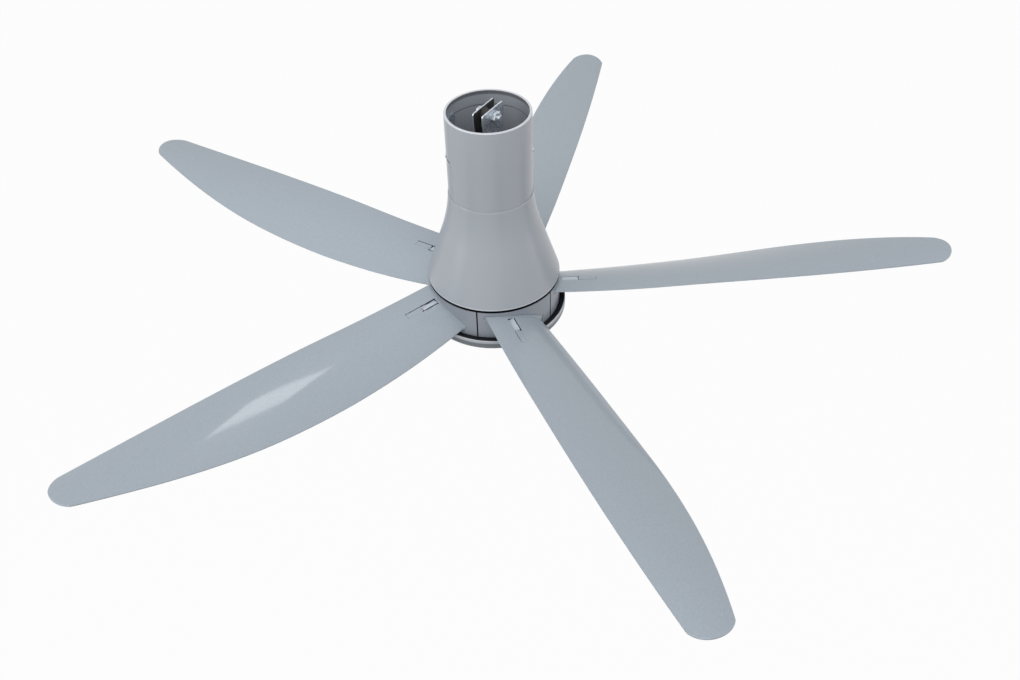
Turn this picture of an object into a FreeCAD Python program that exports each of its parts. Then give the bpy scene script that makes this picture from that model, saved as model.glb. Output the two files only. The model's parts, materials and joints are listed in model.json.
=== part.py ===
import FreeCAD, Part
import math
import os

from FreeCAD import Placement, Rotation, Vector

# Ceiling fan, in millimetres. The origin is the centre of the hanger bolt, +Z is up,
# and the hanger bolt lies along X.

# Clearances
RUNNING_CLEARANCE = 0.05
SEAT_CLEARANCE = 0.05
SIDE_CLEARANCE = 0.3
HOLE_CLEARANCE = 0.2

# Hanger yoke: two plates on a floor, with a bolt and a roller between them
PLATE_GAP = 13.5
PLATE_THICKNESS = 2.5
PLATE_WIDTH = 55.0
PLATE_FOOT_WIDTH = 34.0
PLATE_HEAD = 12.5
PLATE_STRAIGHT = 15.0
PLATE_CORNER = 3.0
YOKE_DROP = 58.0
SAFETY_HOLE_RADIUS = 4.0
SAFETY_HOLE_OFFSET = 11.0
SAFETY_HOLE_DROP = 34.0
BOLT_RADIUS = 5.0
BOLT_HEAD_HEIGHT = 6.4
BOLT_TAIL = 5.0
HEX_CORNER_RADIUS = 9.2
NUT_HEIGHT = 6.5
WASHER_RADIUS = 9.8
WASHER_THICKNESS = 1.6
PIN_WIRE_RADIUS = 1.0
PIN_EYE_RADIUS = 2.2
PIN_LEG = 9.0
ROLLER_RADIUS = 11.0
ROLLER_GROOVE = 2.5
BUSH_WALL = 1.5

# Down pipe and its cross bolt
PIPE_RADIUS = 13.5
PIPE_WALL = 2.3
PIPE_LENGTH = 172.0
PIPE_HEAD = 4.0
CROSS_BOLT_RADIUS = 3.0
CROSS_BOLT_RISE = 20.0
CROSS_HEX_RADIUS = 5.8
CROSS_HEX_HEIGHT = 5.0
CROSS_BOLT_TAIL = 4.0

# Motor shaft, fixed and hollow
SHAFT_RADIUS = 10.0
SHAFT_BORE = 5.0
SPIGOT_LENGTH = 42.0
COLLAR_RADIUS = 17.0
COLLAR_HEIGHT = 6.0
THREAD_RADIUS = 8.0
THREAD_TAIL = 4.5

# Canopy sleeve, which slides in the neck of the bell
SLEEVE_RADIUS = 65.0
SLEEVE_WALL = 2.2
SLEEVE_SHOWN = 134.5
SLEEVE_TUCKED = 60.0
SLEEVE_CLEARANCE = 0.2
RIM_WALL = 3.2
RIM_HEIGHT = 3.0
RIM_ROUND = 1.2
GROOVE_DROP = 18.6
GROOVE_HEIGHT = 1.4
GROOVE_DEPTH = 0.9
SLIT_HEIGHT = 3.4
SLIT_ANGLE = 22.0
SLIT_START = 217.0
SLIT_DROP = 70.5
CANOPY_SCREW_COUNT = 2
CANOPY_SCREW_RADIUS = 1.5
CANOPY_SCREW_END = 1.8
CANOPY_HEAD_RADIUS = 3.6
CANOPY_HEAD_HEIGHT = 1.4
STRIP_LONG_SIDE = 42.0
STRIP_SHORT_SIDE = 6.0
STRIP_THICKNESS = 2.0
STRIP_LENGTH = 68.0
STRIP_BELOW_RIM = 20.3

# Bell cover and the plate that carries it
BELL_HEIGHT = 159.4
BELL_WALL = 2.5
NECK_WALL = 0.7
NECK_EDGE_WALL = 0.3
NECK_CHAMFER = 0.6
NECK_ANGLE = 3.0
FLANK_ANGLE = 18.0
FLANK_DROP = 70.0
LIP_ROUND = 4.0
LIP_DROP = 25.9
LEDGE_WIDTH = 11.0
LEDGE_HEIGHT = 4.0
CARRIER_GAP = 9.3
CARRIER_THICKNESS = 3.0
CARRIER_HUB_HEIGHT = 20.0
CARRIER_HUB_WALL = 7.0
BELL_SCREW_COUNT = 5
BELL_SCREW_RADIUS = 2.0
BELL_SCREW_HEAD = 3.6
BELL_SCREW_HEAD_HEIGHT = 2.4
BELL_SCREW_GRIP = 3.0

# Hub covers, in as many segments as blades
BLADE_COUNT = 5
FIRST_BLADE_ANGLE = 36.0
HUB_INNER_GAP = 3.5
HUB_HEIGHT = 51.2
HUB_WALL = 2.5
HUB_SEAM = 2.2
HUB_RUNNING_GAP = 1.6
HUB_TOP_WIDTH = 24.0
HUB_TOP_DROP = 3.0
HUB_FOOT = 3.7
HUB_FLOOR_INSET = 1.0
BLADE_SLOT_CLEARANCE = 1.8
BLADE_SLOT_RISE = 7.0

# Motor: rotor cup, lid, bearings, magnets and stator
CUP_RADIUS = 72.0
CUP_WALL = 3.0
CUP_TOP = 4.0
CUP_FLANGE_WIDTH = 8.0
CUP_FLANGE_HEIGHT = 4.0
LID_THICKNESS = 4.0
BOSS_WALL = 4.5
BOSS_LIP_HEIGHT = 2.0
BOSS_LIP_WIDTH = 3.0
BEARING_RADIUS = 21.0
BEARING_WIDTH = 12.0
BEARING_SUNK = 2.5
RACE_WALL = 3.2
BALL_RADIUS = 3.1
BALL_COUNT = 9
BALL_CLEARANCE = 0.1
MAGNET_THICKNESS = 4.5
MAGNET_HEIGHT = 24.0
MAGNET_COUNT = 20
MAGNET_SPACE_ANGLE = 2.0
AIR_GAP = 1.0
STATOR_HEIGHT = 20.0
STATOR_CORE_RADIUS = 30.0
TOOTH_COUNT = 12
TOOTH_WIDTH = 9.0
TOOTH_SHOE = 5.0
SHOE_SPACE = 3.0
COIL_THICKNESS = 3.5
COIL_INSET = 2.0

# Blade carrier: a ring round the rotor cup with a sloped pad for each blade
CARRIER_RING_WALL = 6.5
CARRIER_RING_HEIGHT = 24.0
PAD_THICKNESS = 6.0
PAD_OVERLAP = 2.5
HUB_SCREW_RADIUS = 2.0
HUB_SCREW_HEAD = 3.6
HUB_SCREW_HEAD_HEIGHT = 2.2
HUB_SCREW_GRIP = 7.5
HUB_SCREW_ANGLE = 12.0

# Blades: straight leading edge, bowed trailing edge, round tip, twisted and cambered
SWEEP_RADIUS = 750.0
ROOT_GAP = 1.45
PLAN_ROOT_RADIUS = 100.0
LEAD_WIDTH = 53.5
LEAD_WIDE_RADIUS = 330.0
LEAD_ROOT_DROP = 2.5
LEAD_TIP_DROP = 11.5
LEAD_END_INSET = 31.0
TRAIL_WIDTH = 65.0
TRAIL_WIDE_RADIUS = 438.0
TRAIL_ROOT_DROP = 24.0
TRAIL_TIP_DROP = 33.0
TRAIL_END_INSET = 59.0
ROOT_PITCH = 19.5
TWIST = 22.5
TWIST_START = 310.0
TWIST_POWER = 1.5
DIP_BELOW_HUB_TOP = 29.7
DIP_RADIUS = 215.0
ROOT_RISE = 2.2
TIP_RISE = 30.5
RISE_POWER = 1.5
ROOT_CAMBER = 8.5
TIP_CAMBER = 2.5
CAMBER_POWER = 1.5
EDGE_THICKNESS = 2.0
ROOT_THICKNESS = 4.6
TIP_THICKNESS = 3.2
ROOT_STATIONS = (110.0, 150.0, 200.0)
OUTER_STATION_COUNT = 9
OVERRUN = 12.0
TIP_TRAIL_INSET = 28.0
TIP_TRAIL_BEND_INSET = 5.5
TIP_TRAIL_BEND = 10.0
TIP_NOSE = -9.0
TIP_LEAD_BEND_INSET = 6.5
TIP_LEAD_BEND = -29.5
TIP_LEAD_INSET = 38.0
TIP_OVERSHOOT = 1.1
TIP_TOOL_MARGIN = 60.0
FOOT_LENGTH = 13.0
FOOT_LEAD = -38.0
FOOT_TRAIL = 28.0
FOOT_BOTTOM = -2.0
COLLAR_GAP = 0.6
COLLAR_SUNK = 0.4
COLLAR_THICKNESS = 4.5
BLADE_SCREW_RADIUS = 2.5
BLADE_SCREW_HEAD = 4.6
BLADE_SCREW_HEAD_HEIGHT = 3.0
BLADE_SCREW_GRIP = 3.5
BLADE_SCREW_SEAT = 6.5
BLADE_SCREW_SPACING = 40.0

# Blade latches: a lever in a slot of each blade, on a cross pin
LATCH_HUB_GAP = 2.0
LATCH_LENGTH = 57.0
LATCH_WIDTH = 8.6
LATCH_OFFSET = -18.5
LATCH_GAP = 0.5
LATCH_ARM_GAP = 0.15
LATCH_END_GAP = 0.3
LATCH_PAD_GAP = 2.2
LATCH_PAD_LENGTH = 27.0
LATCH_PAD_RISE = 1.6
LATCH_PIVOT_INSET = 5.0
LATCH_PIN_RADIUS = 0.9
LATCH_PIN_REACH = 3.0

# Bottom: bracket on the shaft, dust ring, dished cover and receiver
BRACKET_RADIUS = 78.0
BRACKET_THICKNESS = 2.5
SHAFT_NUT_RADIUS = 13.5
SHAFT_NUT_HEIGHT = 8.0
RING_LIP = 6.8
RING_THICKNESS = 2.0
RING_SEAT_WIDTH = 10.0
RING_OVERLAP = 2.7
RING_WALL = 1.5
RING_SIDE_GAP = 1.5
RING_FLOOR_GAP = 1.8
DISH_EDGE = 1.2
DISH_WALL = 2.0
DISH_SIDE = 9.5
DISH_SHOULDER = 10.0
DISH_SHOULDER_INSET = 7.5
POST_COUNT = 3
POST_CIRCLE = 50.0
POST_RADIUS = 6.5
POST_HEAD_LENGTH = 5.0
COVER_SCREW_RADIUS = 2.0
COVER_SCREW_HEAD = 3.6
COVER_SCREW_HEAD_HEIGHT = 2.4
COVER_SCREW_END = 2.0
LENS_RADIUS = 8.0
LENS_FLANGE_WIDTH = 2.5
LENS_FLANGE_HEIGHT = 1.5
RECEIVER_BOARD_LENGTH = 18.0
RECEIVER_BOARD_WIDTH = 14.0
RECEIVER_GAP = 1.7
BOARD_THICKNESS = 1.6

# Driver box, which stands on the bell carrier
BOX_GAP = 4.0
BOX_DEPTH = 30.0
BOX_WIDTH = 48.0
BOX_HEIGHT = 58.0
BOX_WALL = 2.0
BOX_POST_RADIUS = 3.5
BOX_POST_INSET = 3.5
BOARD_STANDOFF = 5.0
BOARD_POST_GAP = 1.2
STANDOFF_RADIUS = 2.5
CAPACITOR_RADIUS = 5.0
CAPACITOR_HEIGHT = 12.0
CAPACITOR_SPACING = 12.0
CHIP_SIZE = 10.0
CHIP_HEIGHT = 2.0
CHIP_DROP = 14.0
LID_SCREW_RADIUS = 1.5
LID_SCREW_HEAD = 2.8
LID_SCREW_HEAD_HEIGHT = 1.8
LID_SCREW_GRIP = 5.0
TERMINAL_LENGTH = 34.0
TERMINAL_WIDTH = 14.0
TERMINAL_HEIGHT = 13.0
TERMINAL_POLES = 3
TERMINAL_HOLE = 1.6

# Heights and radii that follow from the sizes above
OUTER_FACE = PLATE_GAP / 2 + PLATE_THICKNESS
NUT_FACE = OUTER_FACE + WASHER_THICKNESS
PIN_STATION = NUT_FACE + NUT_HEIGHT + BOLT_TAIL / 2
ROLLER_HALF = PLATE_GAP / 2 - SIDE_CLEARANCE
BUSH_RADIUS = BOLT_RADIUS + RUNNING_CLEARANCE + BUSH_WALL
PIPE_BORE = PIPE_RADIUS - PIPE_WALL
PIPE_TOP = -YOKE_DROP - PLATE_THICKNESS
PIPE_END = PIPE_TOP - PIPE_LENGTH
CROSS_Z = PIPE_END + CROSS_BOLT_RISE
COLLAR_LOW = PIPE_END - COLLAR_HEIGHT
CARRIER_TOP = COLLAR_LOW - CARRIER_HUB_HEIGHT
CARRIER_LOW = CARRIER_TOP - CARRIER_THICKNESS
BELL_LOW = CARRIER_LOW - LIP_DROP
SEAM = BELL_LOW + BELL_HEIGHT
RIM = SEAM + SLEEVE_SHOWN
SLEEVE_BORE = SLEEVE_RADIUS - SLEEVE_WALL
NECK_BORE = SLEEVE_RADIUS + SLEEVE_CLEARANCE
NECK_RADIUS = NECK_BORE + NECK_WALL
CANOPY_SCREW_LENGTH = SLEEVE_WALL + SEAT_CLEARANCE + STRIP_THICKNESS + CANOPY_SCREW_END
NECK_TILT = math.radians(NECK_ANGLE)
FLANK_TILT = math.radians(FLANK_ANGLE)
BEND_RADIUS = FLANK_DROP / (math.sin(FLANK_TILT) - math.sin(NECK_TILT))
FLANK_RADIUS = NECK_RADIUS + BEND_RADIUS * (math.cos(NECK_TILT) - math.cos(FLANK_TILT))
FLANK_LOW = BELL_LOW + LIP_ROUND * (1 + math.sin(FLANK_TILT))
FLANK_LOW_RADIUS = FLANK_RADIUS + (SEAM - FLANK_DROP - FLANK_LOW) * math.tan(FLANK_TILT)
LIP_CENTRE_RADIUS = FLANK_LOW_RADIUS - LIP_ROUND * math.cos(FLANK_TILT)
CARRIER_BORE = SHAFT_RADIUS + SEAT_CLEARANCE
CARRIER_HUB_RADIUS = CARRIER_BORE + CARRIER_HUB_WALL
CARRIER_RADIUS = LIP_CENTRE_RADIUS - CARRIER_GAP
BELL_SCREW_LENGTH = CARRIER_THICKNESS + BELL_SCREW_GRIP
BELL_SCREW_CIRCLE = CARRIER_RADIUS - LEDGE_WIDTH / 2
HUB_TOP = BELL_LOW - HUB_RUNNING_GAP
HUB_LOW = HUB_TOP - HUB_HEIGHT
HUB_FLOOR_LOW = HUB_LOW + HUB_FOOT
LID_LOW = HUB_FLOOR_LOW + HUB_WALL
LID_TOP = LID_LOW + LID_THICKNESS
FLANGE_TOP = LID_TOP + CUP_FLANGE_HEIGHT
FLANGE_RADIUS = CUP_RADIUS + CUP_FLANGE_WIDTH
CUP_CEILING = HUB_TOP - CUP_TOP
BEARING_SEAT = BEARING_RADIUS + SEAT_CLEARANCE
BOSS_RADIUS = BEARING_SEAT + BOSS_WALL
BALL_CIRCLE = (SHAFT_RADIUS + BEARING_RADIUS) / 2
LOWER_BEARING = LID_LOW - BEARING_SUNK
MOTOR_MIDDLE = (CUP_CEILING + LID_TOP) / 2
MAGNET_RADIUS = CUP_RADIUS - CUP_WALL - SEAT_CLEARANCE
STATOR_RADIUS = MAGNET_RADIUS - MAGNET_THICKNESS - AIR_GAP
CARRIER_RING_BORE = CUP_RADIUS + SEAT_CLEARANCE
CARRIER_RING_RADIUS = CARRIER_RING_BORE + CARRIER_RING_WALL
ROOT_RADIUS = CARRIER_RING_RADIUS + ROOT_GAP
FOOT_END = ROOT_RADIUS + FOOT_LENGTH
FOOT_MIDDLE = ROOT_RADIUS + FOOT_LENGTH / 2
HUB_BORE = math.hypot(FOOT_END, FOOT_LEAD) + HUB_INNER_GAP
HUB_RADIUS = HUB_BORE + HUB_WALL
HUB_SCREW_LENGTH = HUB_WALL + LID_THICKNESS + CUP_FLANGE_HEIGHT + HUB_SCREW_GRIP
BLADE_SCREW_LENGTH = BLADE_SCREW_SEAT - FOOT_BOTTOM + BLADE_SCREW_GRIP
HUB_SCREW_CIRCLE = CARRIER_RING_BORE + CARRIER_RING_WALL / 2
RING_FLOOR_TOP = HUB_LOW - RING_FLOOR_GAP
BRACKET_TOP = RING_FLOOR_TOP - RING_THICKNESS
BRACKET_LOW = BRACKET_TOP - BRACKET_THICKNESS
SHAFT_END = BRACKET_LOW - SHAFT_NUT_HEIGHT - THREAD_TAIL
RING_BORE = HUB_RADIUS + RING_SIDE_GAP
RING_RADIUS = RING_BORE + RING_LIP
RING_TOP = HUB_LOW + RING_OVERLAP
DISH_TOP = RING_TOP - RING_THICKNESS
DISH_RADIUS = RING_RADIUS + DISH_EDGE
LENS_BACK = SHAFT_END - RECEIVER_GAP - BOARD_THICKNESS
LENS_SEAT = LENS_BACK - LENS_FLANGE_HEIGHT
DISH_LOW = LENS_SEAT - HOLE_CLEARANCE - DISH_WALL
COVER_SCREW_SEAT = BRACKET_LOW - POST_HEAD_LENGTH
LATCH_INNER = HUB_RADIUS + LATCH_HUB_GAP
LATCH_OUTER = LATCH_INNER + LATCH_LENGTH
LATCH_MIDDLE = LATCH_INNER + LATCH_LENGTH / 2
LATCH_PIVOT = LATCH_OUTER - LATCH_PIVOT_INSET
PIN_HALF_LENGTH = LATCH_WIDTH / 2 + LATCH_GAP + LATCH_PIN_REACH
BOX_INNER_FACE = CARRIER_HUB_RADIUS + BOX_GAP
BOX_TOP = CARRIER_TOP + BOX_HEIGHT
BOX_POST_EDGE = BOX_WALL + BOX_POST_INSET / 2
BOARD_EDGE = BOX_POST_EDGE + BOX_POST_RADIUS + BOARD_POST_GAP
LID_SCREW_LENGTH = BOX_WALL + LID_SCREW_GRIP
BOX_OUTER_FACE = BOX_INNER_FACE + BOX_DEPTH
BOARD_FACE = BOX_INNER_FACE + BOX_WALL + BOARD_STANDOFF

ORIGIN = Vector(0, 0, 0)
X = Vector(1, 0, 0)
Y = Vector(0, 1, 0)
Z = Vector(0, 0, 1)


# Shared shapes

def rod(radius, start, along, length):
    """Round rod from a point along a direction."""
    return Part.makeCylinder(radius, length, start, along)


def disc(radius, low, high):
    """Round disc about Z."""
    return rod(radius, Z * low, Z, high - low)


def tube(outer, inner, low, high):
    """Round tube about Z."""
    return disc(outer, low, high).cut(disc(inner, low, high))


def sector(outer, inner, low, high, start, sweep):
    """Piece of a round tube about Z between two angles."""
    corners = [at(inner, low), at(outer, low), at(outer, high), at(inner, high), at(inner, low)]
    piece = Part.Face(Part.makePolygon(corners)).revolve(ORIGIN, Z, sweep)
    return about_z(piece, start)


def block(low, high):
    """Box between two corners."""
    size = high - low
    return Part.makeBox(size.x, size.y, size.z, low)


def at(radius, z):
    """Point of a turned outline."""
    return Vector(radius, 0, z)


def line(start, end):
    return Part.LineSegment(start, end).toShape()


def arc(start, middle, end):
    return Part.Arc(start, middle, end).toShape()


def turned(edges):
    """Solid of revolution about Z of a closed outline in the XZ plane."""
    return Part.Face(Part.Wire(edges)).revolve(ORIGIN, Z, 360)


def polyline(points):
    """Straight edges through points, closed at the end."""
    return [line(a, b) for a, b in zip(points, points[1:] + points[:1])]


def hexagon(corner_radius, start, along, height):
    """Hexagonal prism from a point along a direction."""
    corners = []
    for k in range(7):
        angle = math.radians(60 * k)
        corners.append(Vector(math.cos(angle), math.sin(angle), 0) * corner_radius)
    prism = Part.Face(Part.makePolygon(corners)).extrude(Z * height)
    prism.Placement = Placement(start, Rotation(Z, along))
    return prism


def about_z(shape, angle):
    """Copy of a shape turned about Z."""
    copy = shape.copy()
    copy.rotate(ORIGIN, Z, angle)
    return copy


def spread(shape, count, start=0.0):
    """Copies of a shape evenly round Z."""
    return [about_z(shape, start + 360.0 * k / count) for k in range(count)]


def at_blades(shape):
    return spread(shape, BLADE_COUNT, FIRST_BLADE_ANGLE)


def placed(shape, placement):
    """Copy of a shape moved by a placement."""
    copy = shape.copy()
    copy.Placement = placement.multiply(copy.Placement)
    return copy


def fused(shapes):
    return shapes[0].multiFuse(shapes[1:]).removeSplitter()


def screw(radius, length, head_radius, head_height, seat, along):
    """Screw with a socket, whose head sits on the seat and whose shank runs along a direction."""
    top = seat - along * head_height
    body = fused([rod(head_radius, top, along, head_height), rod(radius, seat, along, length)])
    return body.cut(hexagon(head_radius / 2, top, along, head_height / 2))


# Hanger

def make_hanger_yoke():
    """Two plates that taper towards a floor, with holes for the bolt and the safety wire."""
    half = PLATE_WIDTH / 2
    foot = PLATE_FOOT_WIDTH / 2
    bend = PLATE_HEAD - PLATE_STRAIGHT
    right = [Vector(0, foot, PIPE_TOP), Vector(0, half, bend), Vector(0, half, PLATE_HEAD)]
    left = [Vector(0, -p.y, p.z) for p in reversed(right)]
    plate = Part.Face(Part.Wire(polyline(right + left))).extrude(X * PLATE_THICKNESS)
    corners = [e for e in plate.Edges if e.BoundBox.XLength > 0.9 * PLATE_THICKNESS and e.BoundBox.ZMin > 0]
    plate = plate.makeFillet(PLATE_CORNER, corners)
    floor = block(Vector(-OUTER_FACE, -foot, PIPE_TOP), Vector(OUTER_FACE, foot, -YOKE_DROP))
    near = plate.translated(X * (PLATE_GAP / 2))
    far = plate.translated(X * -OUTER_FACE)
    yoke = fused([floor, near, far])
    start = X * -OUTER_FACE
    yoke = yoke.cut(rod(BOLT_RADIUS + HOLE_CLEARANCE, start, X, 2 * OUTER_FACE))
    for side in (-1, 1):
        centre = start + Vector(0, side * SAFETY_HOLE_OFFSET, -SAFETY_HOLE_DROP)
        yoke = yoke.cut(rod(SAFETY_HOLE_RADIUS, centre, X, 2 * OUTER_FACE))
    return yoke


def make_hanger_bolt():
    """Bolt with a hexagon head behind the far plate and a cross hole at its end."""
    head_face = X * -NUT_FACE
    length = 2 * NUT_FACE + NUT_HEIGHT + BOLT_TAIL
    head = hexagon(HEX_CORNER_RADIUS, head_face, -X, BOLT_HEAD_HEIGHT)
    bolt = fused([head, rod(BOLT_RADIUS, head_face, X, length)])
    pin_low = X * PIN_STATION - Z * BOLT_RADIUS
    return bolt.cut(rod(PIN_WIRE_RADIUS + SEAT_CLEARANCE, pin_low, Z, 2 * BOLT_RADIUS))


def make_hanger_nut():
    nut = hexagon(HEX_CORNER_RADIUS, X * NUT_FACE, X, NUT_HEIGHT)
    return nut.cut(rod(BOLT_RADIUS + SEAT_CLEARANCE, X * NUT_FACE, X, NUT_HEIGHT))


def make_hanger_washers():
    washers = []
    for start in (X * OUTER_FACE, X * -NUT_FACE):
        washer = rod(WASHER_RADIUS, start, X, WASHER_THICKNESS)
        washers.append(washer.cut(rod(BOLT_RADIUS + HOLE_CLEARANCE, start, X, WASHER_THICKNESS)))
    return Part.makeCompound(washers)


def make_split_pin():
    """Pin through the bolt's end, with an eye above and a leg below."""
    low = X * PIN_STATION - Z * (BOLT_RADIUS + PIN_LEG)
    eye_centre = X * PIN_STATION + Z * (BOLT_RADIUS + PIN_EYE_RADIUS + PIN_WIRE_RADIUS)
    leg = rod(PIN_WIRE_RADIUS, low, Z, 2 * BOLT_RADIUS + PIN_LEG + PIN_WIRE_RADIUS)
    eye = Part.makeTorus(PIN_EYE_RADIUS, PIN_WIRE_RADIUS, eye_centre, X)
    return fused([leg, eye])


def make_roller_bush():
    start = X * -ROLLER_HALF
    bush = rod(BUSH_RADIUS, start, X, 2 * ROLLER_HALF)
    return bush.cut(rod(BOLT_RADIUS + RUNNING_CLEARANCE, start, X, 2 * ROLLER_HALF))


def make_hanger_roller():
    """Grooved rubber roller that the ceiling hook carries."""
    bore = BUSH_RADIUS + SEAT_CLEARANCE
    low = at(ROLLER_RADIUS, -ROLLER_HALF)
    high = at(ROLLER_RADIUS, ROLLER_HALF)
    bore_low = at(bore, -ROLLER_HALF)
    bore_high = at(bore, ROLLER_HALF)
    groove = arc(low, at(ROLLER_RADIUS - ROLLER_GROOVE, 0), high)
    roller = turned([line(bore_low, low), groove, line(high, bore_high), line(bore_high, bore_low)])
    roller.rotate(ORIGIN, Y, 90)
    return roller


# Down pipe and motor shaft

def cross_hole():
    return rod(CROSS_BOLT_RADIUS + HOLE_CLEARANCE, Vector(0, -2 * PIPE_RADIUS, CROSS_Z), Y, 4 * PIPE_RADIUS)


def make_down_pipe():
    """Pipe closed by a head under the yoke and open below for the shaft."""
    pipe = disc(PIPE_RADIUS, PIPE_END, PIPE_TOP).cut(disc(PIPE_BORE, PIPE_END, PIPE_TOP - PIPE_HEAD))
    return pipe.cut(cross_hole())


def make_pipe_bolt():
    start = Vector(0, -PIPE_RADIUS, CROSS_Z)
    head = hexagon(CROSS_HEX_RADIUS, start, -Y, CROSS_HEX_HEIGHT)
    length = 2 * PIPE_RADIUS + CROSS_HEX_HEIGHT + CROSS_BOLT_TAIL
    return fused([head, rod(CROSS_BOLT_RADIUS, start, Y, length)])


def make_pipe_nut():
    start = Vector(0, PIPE_RADIUS, CROSS_Z)
    nut = hexagon(CROSS_HEX_RADIUS, start, Y, CROSS_HEX_HEIGHT)
    return nut.cut(rod(CROSS_BOLT_RADIUS + SEAT_CLEARANCE, start, Y, CROSS_HEX_HEIGHT))


def make_motor_shaft():
    """Hollow shaft: spigot in the pipe, collar under it, bearing length and threaded end."""
    spigot = PIPE_BORE - SEAT_CLEARANCE
    spigot_top = PIPE_END + SPIGOT_LENGTH
    outline = [
        at(SHAFT_BORE, SHAFT_END), at(THREAD_RADIUS, SHAFT_END), at(THREAD_RADIUS, BRACKET_TOP),
        at(SHAFT_RADIUS, BRACKET_TOP), at(SHAFT_RADIUS, COLLAR_LOW), at(COLLAR_RADIUS, COLLAR_LOW),
        at(COLLAR_RADIUS, PIPE_END), at(spigot, PIPE_END), at(spigot, spigot_top), at(SHAFT_BORE, spigot_top),
    ]
    return turned(polyline(outline)).cut(cross_hole())


# Bell and canopy

def make_bell_cover():
    """Flared shell: neck arc, straight flank, round lip and an inner ledge for its screws."""
    neck_out = at(math.cos(NECK_TILT), math.sin(NECK_TILT))
    bend_centre = at(NECK_RADIUS, SEAM) + neck_out * BEND_RADIUS
    lip_centre = at(LIP_CENTRE_RADIUS, BELL_LOW + LIP_ROUND)

    def on_bend(angle, inset):
        return bend_centre - at(math.cos(angle), math.sin(angle)) * (BEND_RADIUS + inset)

    def on_lip(angle, inset):
        return lip_centre + at(math.cos(angle), math.sin(angle)) * (LIP_ROUND - inset)

    down = -math.pi / 2
    edge = at(NECK_BORE + NECK_EDGE_WALL, SEAM)
    last = FLANK_TILT
    chamfer = math.asin(math.sin(NECK_TILT) + NECK_CHAMFER / BEND_RADIUS)
    bore_end = math.acos((bend_centre.x - NECK_BORE) / (BEND_RADIUS + BELL_WALL))
    outer_mid = on_bend((chamfer + last) / 2, 0)
    inner_mid = on_bend((bore_end + last) / 2, BELL_WALL)
    lip_mid = (last + down) / 2
    shell = turned([
        line(at(NECK_BORE, SEAM), edge),
        line(edge, on_bend(chamfer, 0)),
        arc(on_bend(chamfer, 0), outer_mid, on_bend(last, 0)),
        line(on_bend(last, 0), on_lip(last, 0)),
        arc(on_lip(last, 0), on_lip(lip_mid, 0), on_lip(down, 0)),
        line(on_lip(down, 0), on_lip(down, BELL_WALL)),
        arc(on_lip(down, BELL_WALL), on_lip(lip_mid, BELL_WALL), on_lip(last, BELL_WALL)),
        line(on_lip(last, BELL_WALL), on_bend(last, BELL_WALL)),
        arc(on_bend(last, BELL_WALL), inner_mid, on_bend(bore_end, BELL_WALL)),
        line(on_bend(bore_end, BELL_WALL), at(NECK_BORE, SEAM)),
    ])
    ledge_top = CARRIER_TOP + LEDGE_HEIGHT
    ledge_outer = FLANK_LOW_RADIUS - (ledge_top - FLANK_LOW) * math.tan(last) - BELL_WALL / 2
    ledge = tube(ledge_outer, CARRIER_RADIUS - LEDGE_WIDTH, CARRIER_TOP, ledge_top)
    return fused([shell, ledge]).cut(Part.makeCompound(bell_screw_holes(SEAT_CLEARANCE)))


def bell_screw_holes(clearance):
    hole = rod(BELL_SCREW_RADIUS + clearance, Vector(BELL_SCREW_CIRCLE, 0, CARRIER_LOW), Z, BELL_SCREW_LENGTH)
    return spread(hole, BELL_SCREW_COUNT)


def make_bell_carrier():
    """Plate on the shaft that carries the bell and the driver box."""
    plate = tube(CARRIER_RADIUS, CARRIER_BORE, CARRIER_LOW, CARRIER_TOP)
    hub = tube(CARRIER_HUB_RADIUS, CARRIER_BORE, CARRIER_LOW, COLLAR_LOW)
    return fused([plate, hub]).cut(Part.makeCompound(bell_screw_holes(HOLE_CLEARANCE)))


def make_bell_screws():
    seat = Vector(BELL_SCREW_CIRCLE, 0, CARRIER_LOW)
    one = screw(BELL_SCREW_RADIUS, BELL_SCREW_LENGTH, BELL_SCREW_HEAD, BELL_SCREW_HEAD_HEIGHT, seat, Z)
    return Part.makeCompound(spread(one, BELL_SCREW_COUNT))


def canopy_screw_hole(clearance):
    """Hole along X for a canopy screw, from the outside of the sleeve inwards."""
    start = Vector(SLEEVE_RADIUS + CANOPY_HEAD_HEIGHT, 0, RIM - SLIT_DROP)
    return rod(CANOPY_SCREW_RADIUS + clearance, start, -X, 3 * CANOPY_SCREW_LENGTH)


def make_canopy_sleeve():
    """Sleeve with a thick round rim, a fine groove inside and a cross slit at each canopy screw."""
    low = SEAM - SLEEVE_TUCKED
    round_centre = at(SLEEVE_RADIUS - RIM_ROUND, RIM - RIM_ROUND)
    round_low = round_centre + X * RIM_ROUND
    round_high = round_centre + Z * RIM_ROUND
    round_middle = round_centre + (X + Z) * (RIM_ROUND / math.sqrt(2))
    outline = [
        round_high, at(SLEEVE_RADIUS - RIM_WALL, RIM), at(SLEEVE_RADIUS - RIM_WALL, RIM - RIM_HEIGHT),
        at(SLEEVE_BORE, RIM - RIM_HEIGHT), at(SLEEVE_BORE, low), at(SLEEVE_RADIUS, low), round_low,
    ]
    edges = [line(a, b) for a, b in zip(outline, outline[1:])]
    sleeve = turned(edges + [arc(round_low, round_middle, round_high)])
    groove_top = RIM - GROOVE_DROP
    sleeve = sleeve.cut(disc(SLEEVE_BORE + GROOVE_DEPTH, groove_top - GROOVE_HEIGHT, groove_top))
    middle = RIM - SLIT_DROP
    low = middle - SLIT_HEIGHT / 2
    end_angle = math.degrees(SLIT_HEIGHT / 2 / SLEEVE_RADIUS)
    slit = sector(SLEEVE_RADIUS + 1, SLEEVE_BORE - 1, low, low + SLIT_HEIGHT, -end_angle, SLIT_ANGLE + end_angle)
    return sleeve.cut(Part.makeCompound(spread(slit, CANOPY_SCREW_COUNT, SLIT_START)))


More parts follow.
